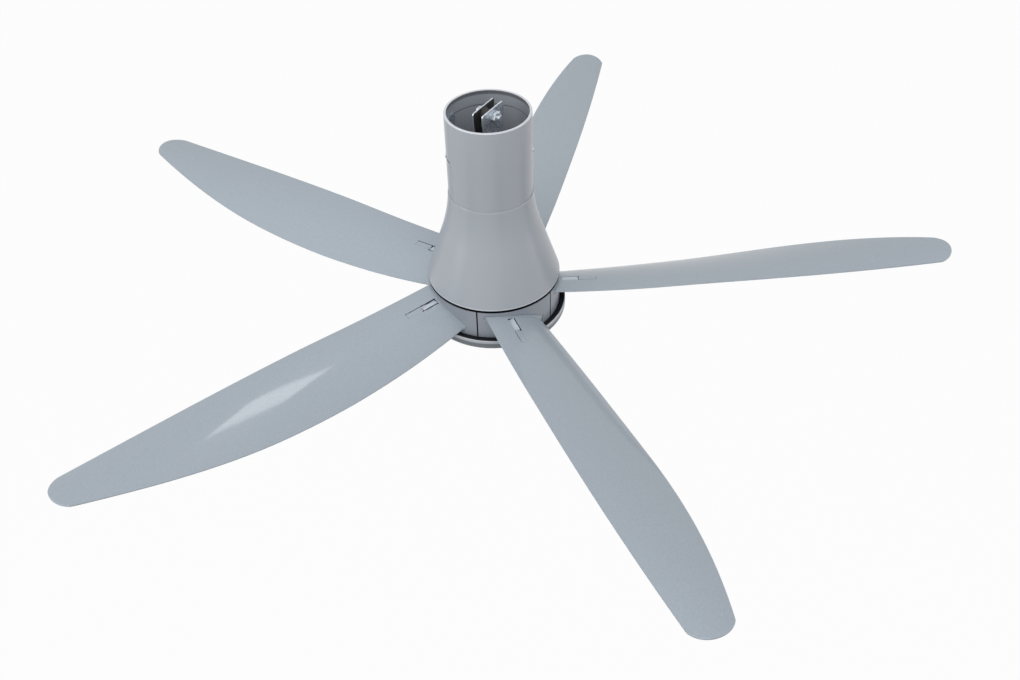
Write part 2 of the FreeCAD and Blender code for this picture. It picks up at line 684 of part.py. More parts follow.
def make_canopy_strips():
    """Curved strips inside the sleeve that the canopy screws draw against its wall."""
    outer = SLEEVE_BORE - SEAT_CLEARANCE
    start = -math.degrees(STRIP_LONG_SIDE / outer)
    end = math.degrees(STRIP_SHORT_SIDE / outer)
    top = RIM - STRIP_BELOW_RIM
    strip = sector(outer, outer - STRIP_THICKNESS, top - STRIP_LENGTH, top, start, end - start)
    strip = strip.cut(canopy_screw_hole(SEAT_CLEARANCE))
    return Part.makeCompound(spread(strip, CANOPY_SCREW_COUNT, SLIT_START))


def make_canopy_screws():
    seat = Vector(SLEEVE_RADIUS, 0, RIM - SLIT_DROP)
    one = screw(CANOPY_SCREW_RADIUS, CANOPY_SCREW_LENGTH, CANOPY_HEAD_RADIUS, CANOPY_HEAD_HEIGHT, seat, -X)
    return Part.makeCompound(spread(one, CANOPY_SCREW_COUNT, SLIT_START))


# Motor

def make_rotor_cup():
    """Cup that carries the magnets, with the upper bearing's boss and a flange below."""
    bore = CUP_RADIUS - CUP_WALL
    boss_top = CUP_CEILING + BEARING_WIDTH
    cup = fused([
        tube(CUP_RADIUS, bore, LID_TOP, HUB_TOP),
        tube(CUP_RADIUS, BEARING_SEAT, CUP_CEILING, HUB_TOP),
        tube(FLANGE_RADIUS, bore, LID_TOP, FLANGE_TOP),
        tube(BOSS_RADIUS, BEARING_SEAT, CUP_CEILING, boss_top),
        tube(BOSS_RADIUS, BEARING_SEAT - BOSS_LIP_WIDTH, boss_top, boss_top + BOSS_LIP_HEIGHT),
    ])
    return cup.cut(Part.makeCompound(hub_screw_holes(HOLE_CLEARANCE)))


def make_rotor_lid():
    """Lid under the cup, with the lower bearing's boss."""
    lid = fused([
        tube(FLANGE_RADIUS, BEARING_SEAT, LID_LOW, LID_TOP),
        tube(BOSS_RADIUS, BEARING_SEAT, LOWER_BEARING, LOWER_BEARING + BEARING_WIDTH),
        tube(BOSS_RADIUS, BEARING_SEAT - BOSS_LIP_WIDTH, LOWER_BEARING - BOSS_LIP_HEIGHT, LOWER_BEARING),
    ])
    return lid.cut(Part.makeCompound(hub_screw_holes(HOLE_CLEARANCE)))


def ball_groove(low):
    return Part.makeTorus(BALL_CIRCLE, BALL_RADIUS + BALL_CLEARANCE, Z * (low + BEARING_WIDTH / 2))


def make_inner_race(low):
    bore = SHAFT_RADIUS + SEAT_CLEARANCE
    return tube(SHAFT_RADIUS + RACE_WALL, bore, low, low + BEARING_WIDTH).cut(ball_groove(low))


def make_outer_race(low):
    ring = tube(BEARING_RADIUS, BEARING_RADIUS - RACE_WALL, low, low + BEARING_WIDTH)
    return ring.cut(ball_groove(low))


def make_bearing_balls():
    balls = []
    for low in (CUP_CEILING, LOWER_BEARING):
        ball = Part.makeSphere(BALL_RADIUS, Vector(BALL_CIRCLE, 0, low + BEARING_WIDTH / 2))
        balls.extend(spread(ball, BALL_COUNT))
    return Part.makeCompound(balls)


def make_rotor_magnets():
    low = MOTOR_MIDDLE - MAGNET_HEIGHT / 2
    sweep = 360.0 / MAGNET_COUNT - MAGNET_SPACE_ANGLE
    magnet = sector(MAGNET_RADIUS, MAGNET_RADIUS - MAGNET_THICKNESS, low, low + MAGNET_HEIGHT, 0, sweep)
    return Part.makeCompound(spread(magnet, MAGNET_COUNT))


def tooth(half_width, half_height, inner, outer):
    """Bar along X at the middle of the motor."""
    low = Vector(inner, -half_width, MOTOR_MIDDLE - half_height)
    return block(low, Vector(outer, half_width, MOTOR_MIDDLE + half_height))


def make_stator_core():
    """Laminated core with teeth and shoes."""
    low = MOTOR_MIDDLE - STATOR_HEIGHT / 2
    high = MOTOR_MIDDLE + STATOR_HEIGHT / 2
    shoe_bore = STATOR_RADIUS - TOOTH_SHOE
    shoes = tube(STATOR_RADIUS, shoe_bore, low, high)
    space = tooth(SHOE_SPACE / 2, STATOR_HEIGHT, shoe_bore - 1, STATOR_RADIUS + 1)
    shoes = shoes.cut(Part.makeCompound(spread(space, TOOTH_COUNT, 180.0 / TOOTH_COUNT)))
    bar = tooth(TOOTH_WIDTH / 2, STATOR_HEIGHT / 2, STATOR_CORE_RADIUS - 1, shoe_bore + 1)
    core = tube(STATOR_CORE_RADIUS, SHAFT_RADIUS + SEAT_CLEARANCE, low, high)
    return fused([core] + shoes.Solids + spread(bar, TOOTH_COUNT))


def make_stator_coils():
    """A coil round each tooth."""
    half = TOOTH_WIDTH / 2 + COIL_THICKNESS
    inner = STATOR_CORE_RADIUS + COIL_INSET
    outer = math.sqrt((STATOR_RADIUS - TOOTH_SHOE) ** 2 - half ** 2) - SIDE_CLEARANCE
    coil = tooth(half, STATOR_HEIGHT / 2 + COIL_THICKNESS, inner, outer)
    window_half = TOOTH_WIDTH / 2 + SIDE_CLEARANCE / 2
    window = tooth(window_half, STATOR_HEIGHT / 2 + SIDE_CLEARANCE / 2, inner - 1, outer + 1)
    return Part.makeCompound(spread(coil.cut(window), TOOTH_COUNT))


# Blade planform and sections

def bowed(x, wide, root_drop, tip_drop, wide_radius, end_radius):
    """Width that is greatest at one radius and falls off as a parabola towards root and tip."""
    if x < wide_radius:
        share = (wide_radius - x) / (wide_radius - PLAN_ROOT_RADIUS)
        return wide - root_drop * share ** 2
    share = (x - wide_radius) / (end_radius - wide_radius)
    return wide - tip_drop * share ** 2


def lead_edge(x):
    end = SWEEP_RADIUS - LEAD_END_INSET
    return -bowed(x, LEAD_WIDTH, LEAD_ROOT_DROP, LEAD_TIP_DROP, LEAD_WIDE_RADIUS, end)


def trail_edge(x):
    end = SWEEP_RADIUS - TRAIL_END_INSET
    return bowed(x, TRAIL_WIDTH, TRAIL_ROOT_DROP, TRAIL_TIP_DROP, TRAIL_WIDE_RADIUS, end)


def outward_share(x, start):
    """How far a radius lies from a starting radius towards the tip, from 0 to 1."""
    return max(0.0, (x - start) / (SWEEP_RADIUS - start))


def pitch(x):
    return ROOT_PITCH - TWIST * outward_share(x, TWIST_START) ** TWIST_POWER


def chord_z(x):
    inward = max(0.0, (DIP_RADIUS - x) / (DIP_RADIUS - PLAN_ROOT_RADIUS))
    rise = TIP_RISE * outward_share(x, DIP_RADIUS) ** RISE_POWER + ROOT_RISE * inward ** 2
    return HUB_TOP - DIP_BELOW_HUB_TOP + rise


def camber(x):
    return ROOT_CAMBER + (TIP_CAMBER - ROOT_CAMBER) * outward_share(x, ROOT_RADIUS) ** CAMBER_POWER


def thickness(x):
    return ROOT_THICKNESS + (TIP_THICKNESS - ROOT_THICKNESS) * outward_share(x, ROOT_RADIUS)


def chord_frame(x):
    """Placement whose Y axis lies along the chord at a radius and whose Z axis stands square to it."""
    return Placement(Vector(x, 0, chord_z(x)), Rotation(X, -pitch(x)))


def chord_ends(x):
    """Leading and trailing edge, measured along the chord."""
    slope = math.cos(math.radians(pitch(x)))
    return lead_edge(x) / slope, trail_edge(x) / slope


def camber_line(x, v):
    """Height of the blade's middle surface above its chord."""
    lead, trail = chord_ends(x)
    share = (2 * v - lead - trail) / (trail - lead)
    return camber(x) * (1 - share ** 2)


def blade_section(x, grow=0.0, rise=0.0):
    """Closed section of the blade at a radius, grown all round and raised at its trailing end."""
    frame = chord_frame(x)
    lead, trail = chord_ends(x)
    middle = (lead + trail) / 2
    edge = EDGE_THICKNESS / 2 + grow
    half = thickness(x) / 2 + grow

    def point(v, w):
        return frame.multVec(Vector(0, v, w))

    top_lead = point(lead - grow, edge)
    top_trail = point(trail + grow, edge + rise)
    low_lead = point(lead - grow, -edge)
    low_trail = point(trail + grow, -edge)
    return Part.Wire([
        arc(top_lead, point(middle, camber(x) + half + rise / 2), top_trail),
        line(top_trail, low_trail),
        arc(low_trail, point(middle, camber(x) - half), low_lead),
        line(low_lead, top_lead),
    ])


def tip_tool():
    """What lies outside the round tip, seen from above."""
    low = chord_z(SWEEP_RADIUS) - TIP_TOOL_MARGIN
    far = SWEEP_RADIUS + 2 * OVERRUN
    side = TIP_TOOL_MARGIN + TRAIL_WIDTH

    def point(x, y):
        return Vector(x, y, low)

    trail_x = SWEEP_RADIUS - TIP_TRAIL_INSET
    lead_x = SWEEP_RADIUS - TIP_LEAD_INSET
    trail = point(trail_x, trail_edge(trail_x) + TIP_OVERSHOOT)
    nose = point(SWEEP_RADIUS, TIP_NOSE)
    lead = point(lead_x, lead_edge(lead_x) - TIP_OVERSHOOT)
    trail_bend = point(SWEEP_RADIUS - TIP_TRAIL_BEND_INSET, TIP_TRAIL_BEND)
    lead_bend = point(SWEEP_RADIUS - TIP_LEAD_BEND_INSET, TIP_LEAD_BEND)
    outside = [lead, point(lead_x, -side), point(far, -side), point(far, side), point(trail_x, side), trail]
    edges = [arc(trail, trail_bend, nose), arc(nose, lead_bend, lead)]
    edges += [line(a, b) for a, b in zip(outside, outside[1:])]
    return Part.Face(Part.Wire(edges)).extrude(Z * 2 * TIP_TOOL_MARGIN)


def make_blank():
    """Whole blade along X before its slot and its holes are cut."""
    start = ROOT_STATIONS[-1]
    step = (SWEEP_RADIUS + OVERRUN - start) / OUTER_STATION_COUNT
    stations = [ROOT_RADIUS] + list(ROOT_STATIONS)
    stations += [start + step * (k + 1) for k in range(OUTER_STATION_COUNT)]
    skin = Part.makeLoft([blade_section(x) for x in stations], True)
    return skin.cut(tip_tool())


def make_foot():
    """Solid block under the arch of the blade's root, flat below where it sits on its pad."""
    ends = []
    for x in (ROOT_RADIUS, FOOT_END):
        frame = chord_frame(x)
        lead, trail = chord_ends(x)
        corners = [(FOOT_LEAD, camber_line(x, FOOT_LEAD)), (FOOT_TRAIL, camber_line(x, FOOT_TRAIL))]
        middle = (lead + trail) / 2
        top = [frame.multVec(Vector(0, v, w)) for v, w in corners]
        ends.append((top[0], frame.multVec(Vector(0, middle, camber(x))), top[1]))
    flat = chord_frame(FOOT_MIDDLE)
    wires = []
    for lead_top, crown, trail_top in ends:
        lead_low = flat.multVec(Vector(lead_top.x - FOOT_MIDDLE, FOOT_LEAD, FOOT_BOTTOM))
        trail_low = flat.multVec(Vector(lead_top.x - FOOT_MIDDLE, FOOT_TRAIL, FOOT_BOTTOM))
        wires.append(Part.Wire([
            arc(lead_top, crown, trail_top), line(trail_top, trail_low),
            line(trail_low, lead_low), line(lead_low, lead_top),
        ]))
    return Part.makeLoft(wires, True, True)


def root_window(gap):
    """Upright bar through the hub's wall round the blade's root, drawn in by a gap."""
    section = blade_section(HUB_BORE, BLADE_SLOT_CLEARANCE - gap, BLADE_SLOT_RISE)
    return Part.Face(section).extrude(X * 2 * HUB_TOP_WIDTH).translated(X * -HUB_TOP_WIDTH)


def make_collar():
    """Collar on the blade's root that fills the window in the hub's wall."""
    outer = HUB_RADIUS - COLLAR_SUNK
    return root_window(COLLAR_GAP).common(tube(outer, outer - COLLAR_THICKNESS, HUB_LOW, HUB_TOP))


def foot_rods(radius, low, high):
    """Rods square to the foot at the blade screws."""
    one = rod(radius, Z * low, Z, high - low)
    return [placed(one, chord_frame(FOOT_MIDDLE) * Placement(Y * v, Rotation())) for v in blade_screw_places()]


def blade_screw_places():
    """Places of the blade screws along the chord of the foot."""
    middle = (FOOT_LEAD + FOOT_TRAIL) / 2
    return middle - BLADE_SCREW_SPACING / 2, middle + BLADE_SCREW_SPACING / 2


def latch_block(start, end, lead_side, trail_side):
    """Upright block about the latch's line, between two radii, through the blade."""
    low = Vector(start - LATCH_MIDDLE, LATCH_OFFSET - lead_side, -ROOT_CAMBER)
    high = Vector(end - LATCH_MIDDLE, LATCH_OFFSET + trail_side, 3 * ROOT_CAMBER)
    return placed(block(low, high), chord_frame(LATCH_MIDDLE))


def latch_pin_rod(radius, reach):
    """Rod along the chord at the latch's pivot."""
    centre = Vector(0, LATCH_OFFSET, camber_line(LATCH_PIVOT, LATCH_OFFSET))
    one = rod(radius, centre - Y * reach, Y, 2 * reach)
    return placed(one, chord_frame(LATCH_PIVOT))


def make_blade(blank):
    """Blade with its root foot and collar, screw holes, latch slot and pin hole."""
    half = LATCH_WIDTH / 2
    pad_end = LATCH_INNER + LATCH_PAD_LENGTH
    near = half + LATCH_GAP
    pad_slot = latch_block(LATCH_INNER - LATCH_GAP, pad_end + LATCH_PAD_GAP, near, half + LATCH_PAD_GAP)
    arm_slot = latch_block(LATCH_INNER, LATCH_OUTER + LATCH_END_GAP, near, half + LATCH_ARM_GAP)
    blade = fused([blank, make_foot(), make_collar()])
    blade = blade.cut(pad_slot.fuse(arm_slot))
    blade = blade.cut(latch_pin_rod(LATCH_PIN_RADIUS + SEAT_CLEARANCE, PIN_HALF_LENGTH))
    holes = foot_rods(BLADE_SCREW_RADIUS + HOLE_CLEARANCE, FOOT_BOTTOM - 1, BLADE_SCREW_SEAT)
    spots = foot_rods(BLADE_SCREW_HEAD + HOLE_CLEARANCE, BLADE_SCREW_SEAT, 3 * ROOT_CAMBER)
    return blade.cut(Part.makeCompound(holes)).cut(Part.makeCompound(spots))


def make_latch(blank):
    """Lever cut to the blade's own curve, with a raised pad at its free end."""
    half = LATCH_WIDTH / 2
    arm = blank.common(latch_block(LATCH_INNER, LATCH_OUTER, half, half))
    middle = LATCH_INNER + LATCH_PAD_LENGTH / 2
    surface = camber_line(middle, LATCH_OFFSET) + thickness(middle) / 2
    low = Vector(-LATCH_PAD_LENGTH / 2, LATCH_OFFSET - half, surface - thickness(middle) / 2)
    high = Vector(LATCH_PAD_LENGTH / 2, LATCH_OFFSET + half, surface + LATCH_PAD_RISE)
    pad = placed(block(low, high), chord_frame(middle))
    lever = fused([arm, pad])
    return lever.cut(latch_pin_rod(LATCH_PIN_RADIUS + RUNNING_CLEARANCE, PIN_HALF_LENGTH))


def make_blade_screws():
    one_blade = []
    for v in blade_screw_places():
        seat = Vector(0, v, BLADE_SCREW_SEAT)
        one = screw(BLADE_SCREW_RADIUS, BLADE_SCREW_LENGTH, BLADE_SCREW_HEAD, BLADE_SCREW_HEAD_HEIGHT, seat, -Z)
        one_blade.append(placed(one, chord_frame(FOOT_MIDDLE)))
    return Part.makeCompound([s for one in one_blade for s in at_blades(one)])


# Hub

def hub_screw_rods(rod_at_x):
    """Copies at the hub screws, two to each blade."""
    copies = []
    for angle in (-HUB_SCREW_ANGLE, HUB_SCREW_ANGLE):
        copies.extend(at_blades(about_z(rod_at_x, angle)))
    return copies


def hub_screw_holes(clearance):
    start = Vector(HUB_SCREW_CIRCLE, 0, HUB_FLOOR_LOW)
    return hub_screw_rods(rod(HUB_SCREW_RADIUS + clearance, start, Z, HUB_SCREW_LENGTH))


def make_hub_screws():
    seat = Vector(HUB_SCREW_CIRCLE, 0, HUB_FLOOR_LOW)
    one = screw(HUB_SCREW_RADIUS, HUB_SCREW_LENGTH, HUB_SCREW_HEAD, HUB_SCREW_HEAD_HEIGHT, seat, Z)
    return Part.makeCompound(hub_screw_rods(one))


def make_blade_carrier():
    """Ring round the rotor cup with a sloped pad for each blade's foot."""
    ring = tube(CARRIER_RING_RADIUS, CARRIER_RING_BORE, FLANGE_TOP, FLANGE_TOP + CARRIER_RING_HEIGHT)
    pad_inner = CARRIER_RING_RADIUS - PAD_OVERLAP
    low = Vector(pad_inner - FOOT_MIDDLE, FOOT_LEAD, FOOT_BOTTOM - PAD_THICKNESS)
    high = Vector(FOOT_LENGTH / 2, FOOT_TRAIL, FOOT_BOTTOM)
    pad = placed(block(low, high), chord_frame(FOOT_MIDDLE))
    pad = pad.cut(disc(FLANGE_RADIUS + SIDE_CLEARANCE, HUB_LOW, FLANGE_TOP))
    holes = foot_rods(BLADE_SCREW_RADIUS + SEAT_CLEARANCE, FOOT_BOTTOM - 2 * PAD_THICKNESS, FOOT_BOTTOM)
    pad = pad.cut(Part.makeCompound(holes))
    carrier = fused([ring] + at_blades(pad)).cut(disc(CARRIER_RING_BORE, HUB_LOW, HUB_TOP))
    return carrier.cut(Part.makeCompound(hub_screw_holes(SEAT_CLEARANCE)))


def make_hub_cover():
    """One segment of the hub's wall with its top and floor, slotted for the blade."""
    half = 180.0 / BLADE_COUNT - math.degrees(HUB_SEAM / 2 / HUB_RADIUS)
    wall = sector(HUB_RADIUS, HUB_BORE, HUB_LOW, HUB_TOP, -half, 2 * half)
    middle = HUB_BORE + HUB_WALL / 2
    top_face = HUB_TOP - HUB_TOP_DROP
    top = sector(middle, HUB_RADIUS - HUB_TOP_WIDTH, top_face - HUB_WALL, top_face, -half, 2 * half)
    floor = sector(middle, CUP_RADIUS - HUB_FLOOR_INSET, HUB_FLOOR_LOW, LID_LOW, -half, 2 * half)
    cover = fused([wall, top, floor]).cut(root_window(0.0))
    start = Vector(HUB_SCREW_CIRCLE, 0, HUB_FLOOR_LOW)
    hole = rod(HUB_SCREW_RADIUS + HOLE_CLEARANCE, start, Z, HUB_SCREW_LENGTH)
    for angle in (-HUB_SCREW_ANGLE, HUB_SCREW_ANGLE):
        cover = cover.cut(about_z(hole, angle))
    return cover


# Bottom

def make_dust_ring():
    """Black ring that closes the hub from below and runs round its lower edge."""
    wall_radius = RING_BORE + RING_WALL
    return fused([
        tube(wall_radius, BRACKET_RADIUS - RING_SEAT_WIDTH, BRACKET_TOP, RING_FLOOR_TOP),
        tube(wall_radius, RING_BORE, BRACKET_TOP, RING_TOP),
        tube(RING_RADIUS, RING_BORE, DISH_TOP, RING_TOP),
    ])


def cover_screw_holes(clearance):
    start = Vector(POST_CIRCLE, 0, COVER_SCREW_SEAT)
    hole = rod(COVER_SCREW_RADIUS + clearance, start, Z, BRACKET_TOP - COVER_SCREW_SEAT)
    return spread(hole, POST_COUNT)


def make_cover_bracket():
    bracket = tube(BRACKET_RADIUS, THREAD_RADIUS + SEAT_CLEARANCE, BRACKET_LOW, BRACKET_TOP)
    return bracket.cut(Part.makeCompound(cover_screw_holes(SEAT_CLEARANCE)))


def make_shaft_nut():
    nut = hexagon(SHAFT_NUT_RADIUS, Z * BRACKET_LOW, -Z, SHAFT_NUT_HEIGHT)
    return nut.cut(disc(THREAD_RADIUS + SEAT_CLEARANCE, SHAFT_END, BRACKET_LOW))


def dish_filled(inset):
    """Filled form of the dish: upright side, round shoulder, shallow dome, drawn in by an inset."""
    shoulder = (DISH_SHOULDER_INSET ** 2 + DISH_SHOULDER ** 2) / (2 * DISH_SHOULDER_INSET)
    turn = math.asin(DISH_SHOULDER / shoulder)
    side_low = DISH_TOP - DISH_SIDE
    centre = at(DISH_RADIUS - shoulder, side_low)

    def on_shoulder(angle):
        return centre + at(math.cos(angle), -math.sin(angle)) * (shoulder - inset)

    end = on_shoulder(turn)
    bottom = at(0, DISH_LOW + inset)
    depth = end.z - bottom.z
    dome = (end.x ** 2 + depth ** 2) / (2 * depth)
    half = end.x / 2
    dome_mid = at(half, bottom.z + dome - math.sqrt(dome ** 2 - half ** 2))
    rim = at(DISH_RADIUS - inset, DISH_TOP)
    return turned([
        line(at(0, DISH_TOP), rim), line(rim, on_shoulder(0)), arc(on_shoulder(0), on_shoulder(turn / 2), end),
        arc(end, dome_mid, bottom), line(bottom, at(0, DISH_TOP)),
    ])


def make_bottom_cover():
    """Dished cover with screw posts up to the bracket and a hole for the receiver lens."""
    form = dish_filled(0.0)
    post_low = Vector(POST_CIRCLE, 0, DISH_LOW)
    post = rod(POST_RADIUS, post_low, Z, BRACKET_LOW - DISH_LOW).common(form)
    cover = fused([form.cut(dish_filled(DISH_WALL))] + spread(post, POST_COUNT))
    head_room = rod(COVER_SCREW_HEAD + HOLE_CLEARANCE, post_low, Z, COVER_SCREW_SEAT - DISH_LOW)
    cuts = spread(head_room, POST_COUNT) + cover_screw_holes(HOLE_CLEARANCE)
    cuts.append(disc(LENS_RADIUS + HOLE_CLEARANCE, DISH_LOW, DISH_TOP))
    return cover.cut(Part.makeCompound(cuts))


def make_cover_screws():
    seat = Vector(POST_CIRCLE, 0, COVER_SCREW_SEAT)
    length = BRACKET_TOP - COVER_SCREW_SEAT + COVER_SCREW_END
    one = screw(COVER_SCREW_RADIUS, length, COVER_SCREW_HEAD, COVER_SCREW_HEAD_HEIGHT, seat, Z)
    return Part.makeCompound(spread(one, POST_COUNT))


def make_receiver_lens():
    return fused([
        disc(LENS_RADIUS, DISH_LOW, LENS_BACK),
        disc(LENS_RADIUS + LENS_FLANGE_WIDTH, LENS_SEAT, LENS_BACK),
    ])


def make_receiver_board():
    half = Vector(RECEIVER_BOARD_LENGTH / 2, RECEIVER_BOARD_WIDTH / 2, 0)
    return block(Z * LENS_BACK - half, Z * (LENS_BACK + BOARD_THICKNESS) + half)


# Driver box

def box_corner_points(inset):
    """Points inside the four corners of the driver box, on its inner face."""
    half = BOX_WIDTH / 2 - inset
    return [Vector(BOX_INNER_FACE, y, z) for y in (-half, half) for z in (CARRIER_TOP + inset, BOX_TOP - inset)]


def make_driver_box():
    """Tray that opens outwards, with a screw post in each corner and standoffs for the board."""
    half = BOX_WIDTH / 2
    wall = Vector(BOX_WALL, BOX_WALL, BOX_WALL)
    low = Vector(BOX_INNER_FACE, -half, CARRIER_TOP)
    outside = block(low, Vector(BOX_OUTER_FACE, half, BOX_TOP))
    inside = block(low + wall, Vector(BOX_OUTER_FACE + BOX_WALL, half - BOX_WALL, BOX_TOP - BOX_WALL))
    solids = [outside.cut(inside)]
    for corner in box_corner_points(BOX_POST_EDGE):
        post = rod(BOX_POST_RADIUS, corner, X, BOX_DEPTH).common(outside)
        solids.append(post.cut(lid_screw_hole(corner, SEAT_CLEARANCE)))
    for corner in box_corner_points(BOARD_EDGE + STANDOFF_RADIUS):
        solids.append(rod(STANDOFF_RADIUS, corner, X, BOX_WALL + BOARD_STANDOFF))
    return fused(solids)


def lid_screw_hole(corner, clearance):
    start = Vector(BOX_OUTER_FACE + BOX_WALL, corner.y, corner.z)
    return rod(LID_SCREW_RADIUS + clearance, start, -X, LID_SCREW_LENGTH)


def make_driver_lid():
    half = BOX_WIDTH / 2
    low = Vector(BOX_OUTER_FACE, -half, CARRIER_TOP)
    lid = block(low, Vector(BOX_OUTER_FACE + BOX_WALL, half, BOX_TOP))
    for corner in box_corner_points(BOX_POST_EDGE):
        lid = lid.cut(lid_screw_hole(corner, HOLE_CLEARANCE))
    return lid


def make_lid_screws():
    screws = []
    for corner in box_corner_points(BOX_POST_EDGE):
        seat = Vector(BOX_OUTER_FACE + BOX_WALL, corner.y, corner.z)
        screws.append(screw(LID_SCREW_RADIUS, LID_SCREW_LENGTH, LID_SCREW_HEAD, LID_SCREW_HEAD_HEIGHT, seat, -X))
    return Part.makeCompound(screws)


def make_driver_board():
    half = BOX_WIDTH / 2 - BOARD_EDGE
    low = Vector(BOARD_FACE, -half, CARRIER_TOP + BOARD_EDGE)
    return block(low, Vector(BOARD_FACE + BOARD_THICKNESS, half, BOX_TOP - BOARD_EDGE))


def make_board_components():
    """Two capacitors and two chips on the driver board."""
    face = BOARD_FACE + BOARD_THICKNESS
    middle = (CARRIER_TOP + BOX_TOP) / 2
    pieces = []
    for side in (-1, 1):
        y = side * CAPACITOR_SPACING / 2
        pieces.append(rod(CAPACITOR_RADIUS, Vector(face, y, middle), X, CAPACITOR_HEIGHT))
        low = Vector(face, y - CHIP_SIZE / 2, middle - CHIP_DROP - CHIP_SIZE / 2)
        pieces.append(block(low, low + Vector(CHIP_HEIGHT, CHIP_SIZE, CHIP_SIZE)))
    return Part.makeCompound(pieces)


def make_terminal_block():
    """Block on the driver box with a wire hole and a clamp hole for each pole."""
    middle = BOX_INNER_FACE + BOX_DEPTH / 2
    half = Vector(TERMINAL_WIDTH / 2, TERMINAL_LENGTH / 2, 0)
    base = Vector(middle, 0, BOX_TOP)
    body = block(base - half, base + half + Z * TERMINAL_HEIGHT)
    step = TERMINAL_LENGTH / TERMINAL_POLES
    for k in range(TERMINAL_POLES):
        y = step * (k - (TERMINAL_POLES - 1) / 2)
        wire = rod(TERMINAL_HOLE, base - half + Vector(0, half.y + y, TERMINAL_HEIGHT / 2), X, TERMINAL_WIDTH)
        clamp = rod(TERMINAL_HOLE, base + Vector(0, y, TERMINAL_HEIGHT / 2), Z, TERMINAL_HEIGHT / 2)
        body = body.cut(wire).cut(clamp)
    return body


def make_all():
    """Every node by name."""
    nodes = {
        "hanger_yoke": make_hanger_yoke(),
        "hanger_bolt": make_hanger_bolt(),
        "hanger_nut": make_hanger_nut(),
        "hanger_washers": make_hanger_washers(),
        "split_pin": make_split_pin(),
        "roller_bush": make_roller_bush(),
        "hanger_roller": make_hanger_roller(),
        "down_pipe": make_down_pipe(),
        "pipe_bolt": make_pipe_bolt(),
        "pipe_nut": make_pipe_nut(),
        "motor_shaft": make_motor_shaft(),
        "bell_cover": make_bell_cover(),
        "bell_carrier": make_bell_carrier(),
        "bell_screws": make_bell_screws(),
        "canopy_sleeve": make_canopy_sleeve(),
        "canopy_strips": make_canopy_strips(),
        "canopy_screws": make_canopy_screws(),
        "rotor_cup": make_rotor_cup(),
        "rotor_lid": make_rotor_lid(),
        "upper_inner_race": make_inner_race(CUP_CEILING),
        "lower_inner_race": make_inner_race(LOWER_BEARING),
        "upper_outer_race": make_outer_race(CUP_CEILING),
        "lower_outer_race": make_outer_race(LOWER_BEARING),
        "bearing_balls": make_bearing_balls(),
        "rotor_magnets": make_rotor_magnets(),
        "stator_core": make_stator_core(),
        "stator_coils": make_stator_coils(),
        "blade_carrier": make_blade_carrier(),
        "hub_screws": make_hub_screws(),
        "blade_screws": make_blade_screws(),
        "dust_ring": make_dust_ring(),
        "cover_bracket": make_cover_bracket(),
        "shaft_nut": make_shaft_nut(),
        "bottom_cover": make_bottom_cover(),
        "cover_screws": make_cover_screws(),
        "receiver_lens": make_receiver_lens(),
        "receiver_board": make_receiver_board(),
        "driver_box": make_driver_box(),
        "driver_lid": make_driver_lid(),
        "lid_screws": make_lid_screws(),
        "driver_board": make_driver_board(),
        "board_components": make_board_components(),
        "terminal_block": make_terminal_block(),
    }
    blank = make_blank()
    nodes["latch_pins"] = Part.makeCompound(at_blades(latch_pin_rod(LATCH_PIN_RADIUS, PIN_HALF_LENGTH)))
    sets = {"blade": make_blade(blank), "latch": make_latch(blank), "hub_cover": make_hub_cover()}
    for name, shape in sets.items():
        for k, copy in enumerate(at_blades(shape)):
            nodes[f"{name}_{k + 1}"] = copy
    return nodes


os.makedirs("parts", exist_ok=True)
for node, shape in make_all().items():
    shape.exportStep(f"parts/{node}.step")
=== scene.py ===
# %% [markdown]
# # A five-blade ceiling fan
# The fan is already built as solids, packed into one frame with its joints. This lesson loads that frame,
# models the parts that show once more with soft edges, and gives every part its finish. The fan's sizes
# are in millimetres, as on a drawing, and MM turns them into Blender's metres. Camera, floor and lamps
# are placed in metres.

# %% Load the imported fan
import json
import math

import bmesh
import bpy
from mathutils import Matrix, Vector


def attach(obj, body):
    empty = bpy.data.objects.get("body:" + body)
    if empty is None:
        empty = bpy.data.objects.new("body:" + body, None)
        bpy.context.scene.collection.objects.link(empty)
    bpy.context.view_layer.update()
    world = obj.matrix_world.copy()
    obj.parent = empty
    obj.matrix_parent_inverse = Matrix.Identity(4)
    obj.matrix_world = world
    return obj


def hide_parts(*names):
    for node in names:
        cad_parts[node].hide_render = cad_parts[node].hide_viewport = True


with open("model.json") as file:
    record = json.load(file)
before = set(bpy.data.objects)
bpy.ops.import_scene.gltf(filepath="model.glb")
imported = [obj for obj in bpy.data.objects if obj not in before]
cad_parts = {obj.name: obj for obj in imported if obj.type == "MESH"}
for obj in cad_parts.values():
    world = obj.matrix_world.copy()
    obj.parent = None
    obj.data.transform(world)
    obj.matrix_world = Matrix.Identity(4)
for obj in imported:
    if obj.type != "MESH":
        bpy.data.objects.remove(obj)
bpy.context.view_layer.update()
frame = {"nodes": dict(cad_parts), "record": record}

MM = 0.001

# %% [markdown]
# ## Camera
# The photograph looks down on the fan from the front right. Where the camera stood, which way it looked,
# how far it was rolled and how long its lens was were worked out from the outlines in it, so they are
# simply written down here. A camera looks along its own -Z axis, so its matrix holds its right, its up
# and the opposite of its look.

# %% Place the camera
CAMERA_PLACE = Vector((0.8212, -1.2141, 0.8558))
CAMERA_LOOK = Vector((-0.4101, 0.6272, -0.6622)).normalized()
CAMERA_ROLL = math.radians(-1.61)
LENS = 40.32
SENSOR_WIDTH = 36.0

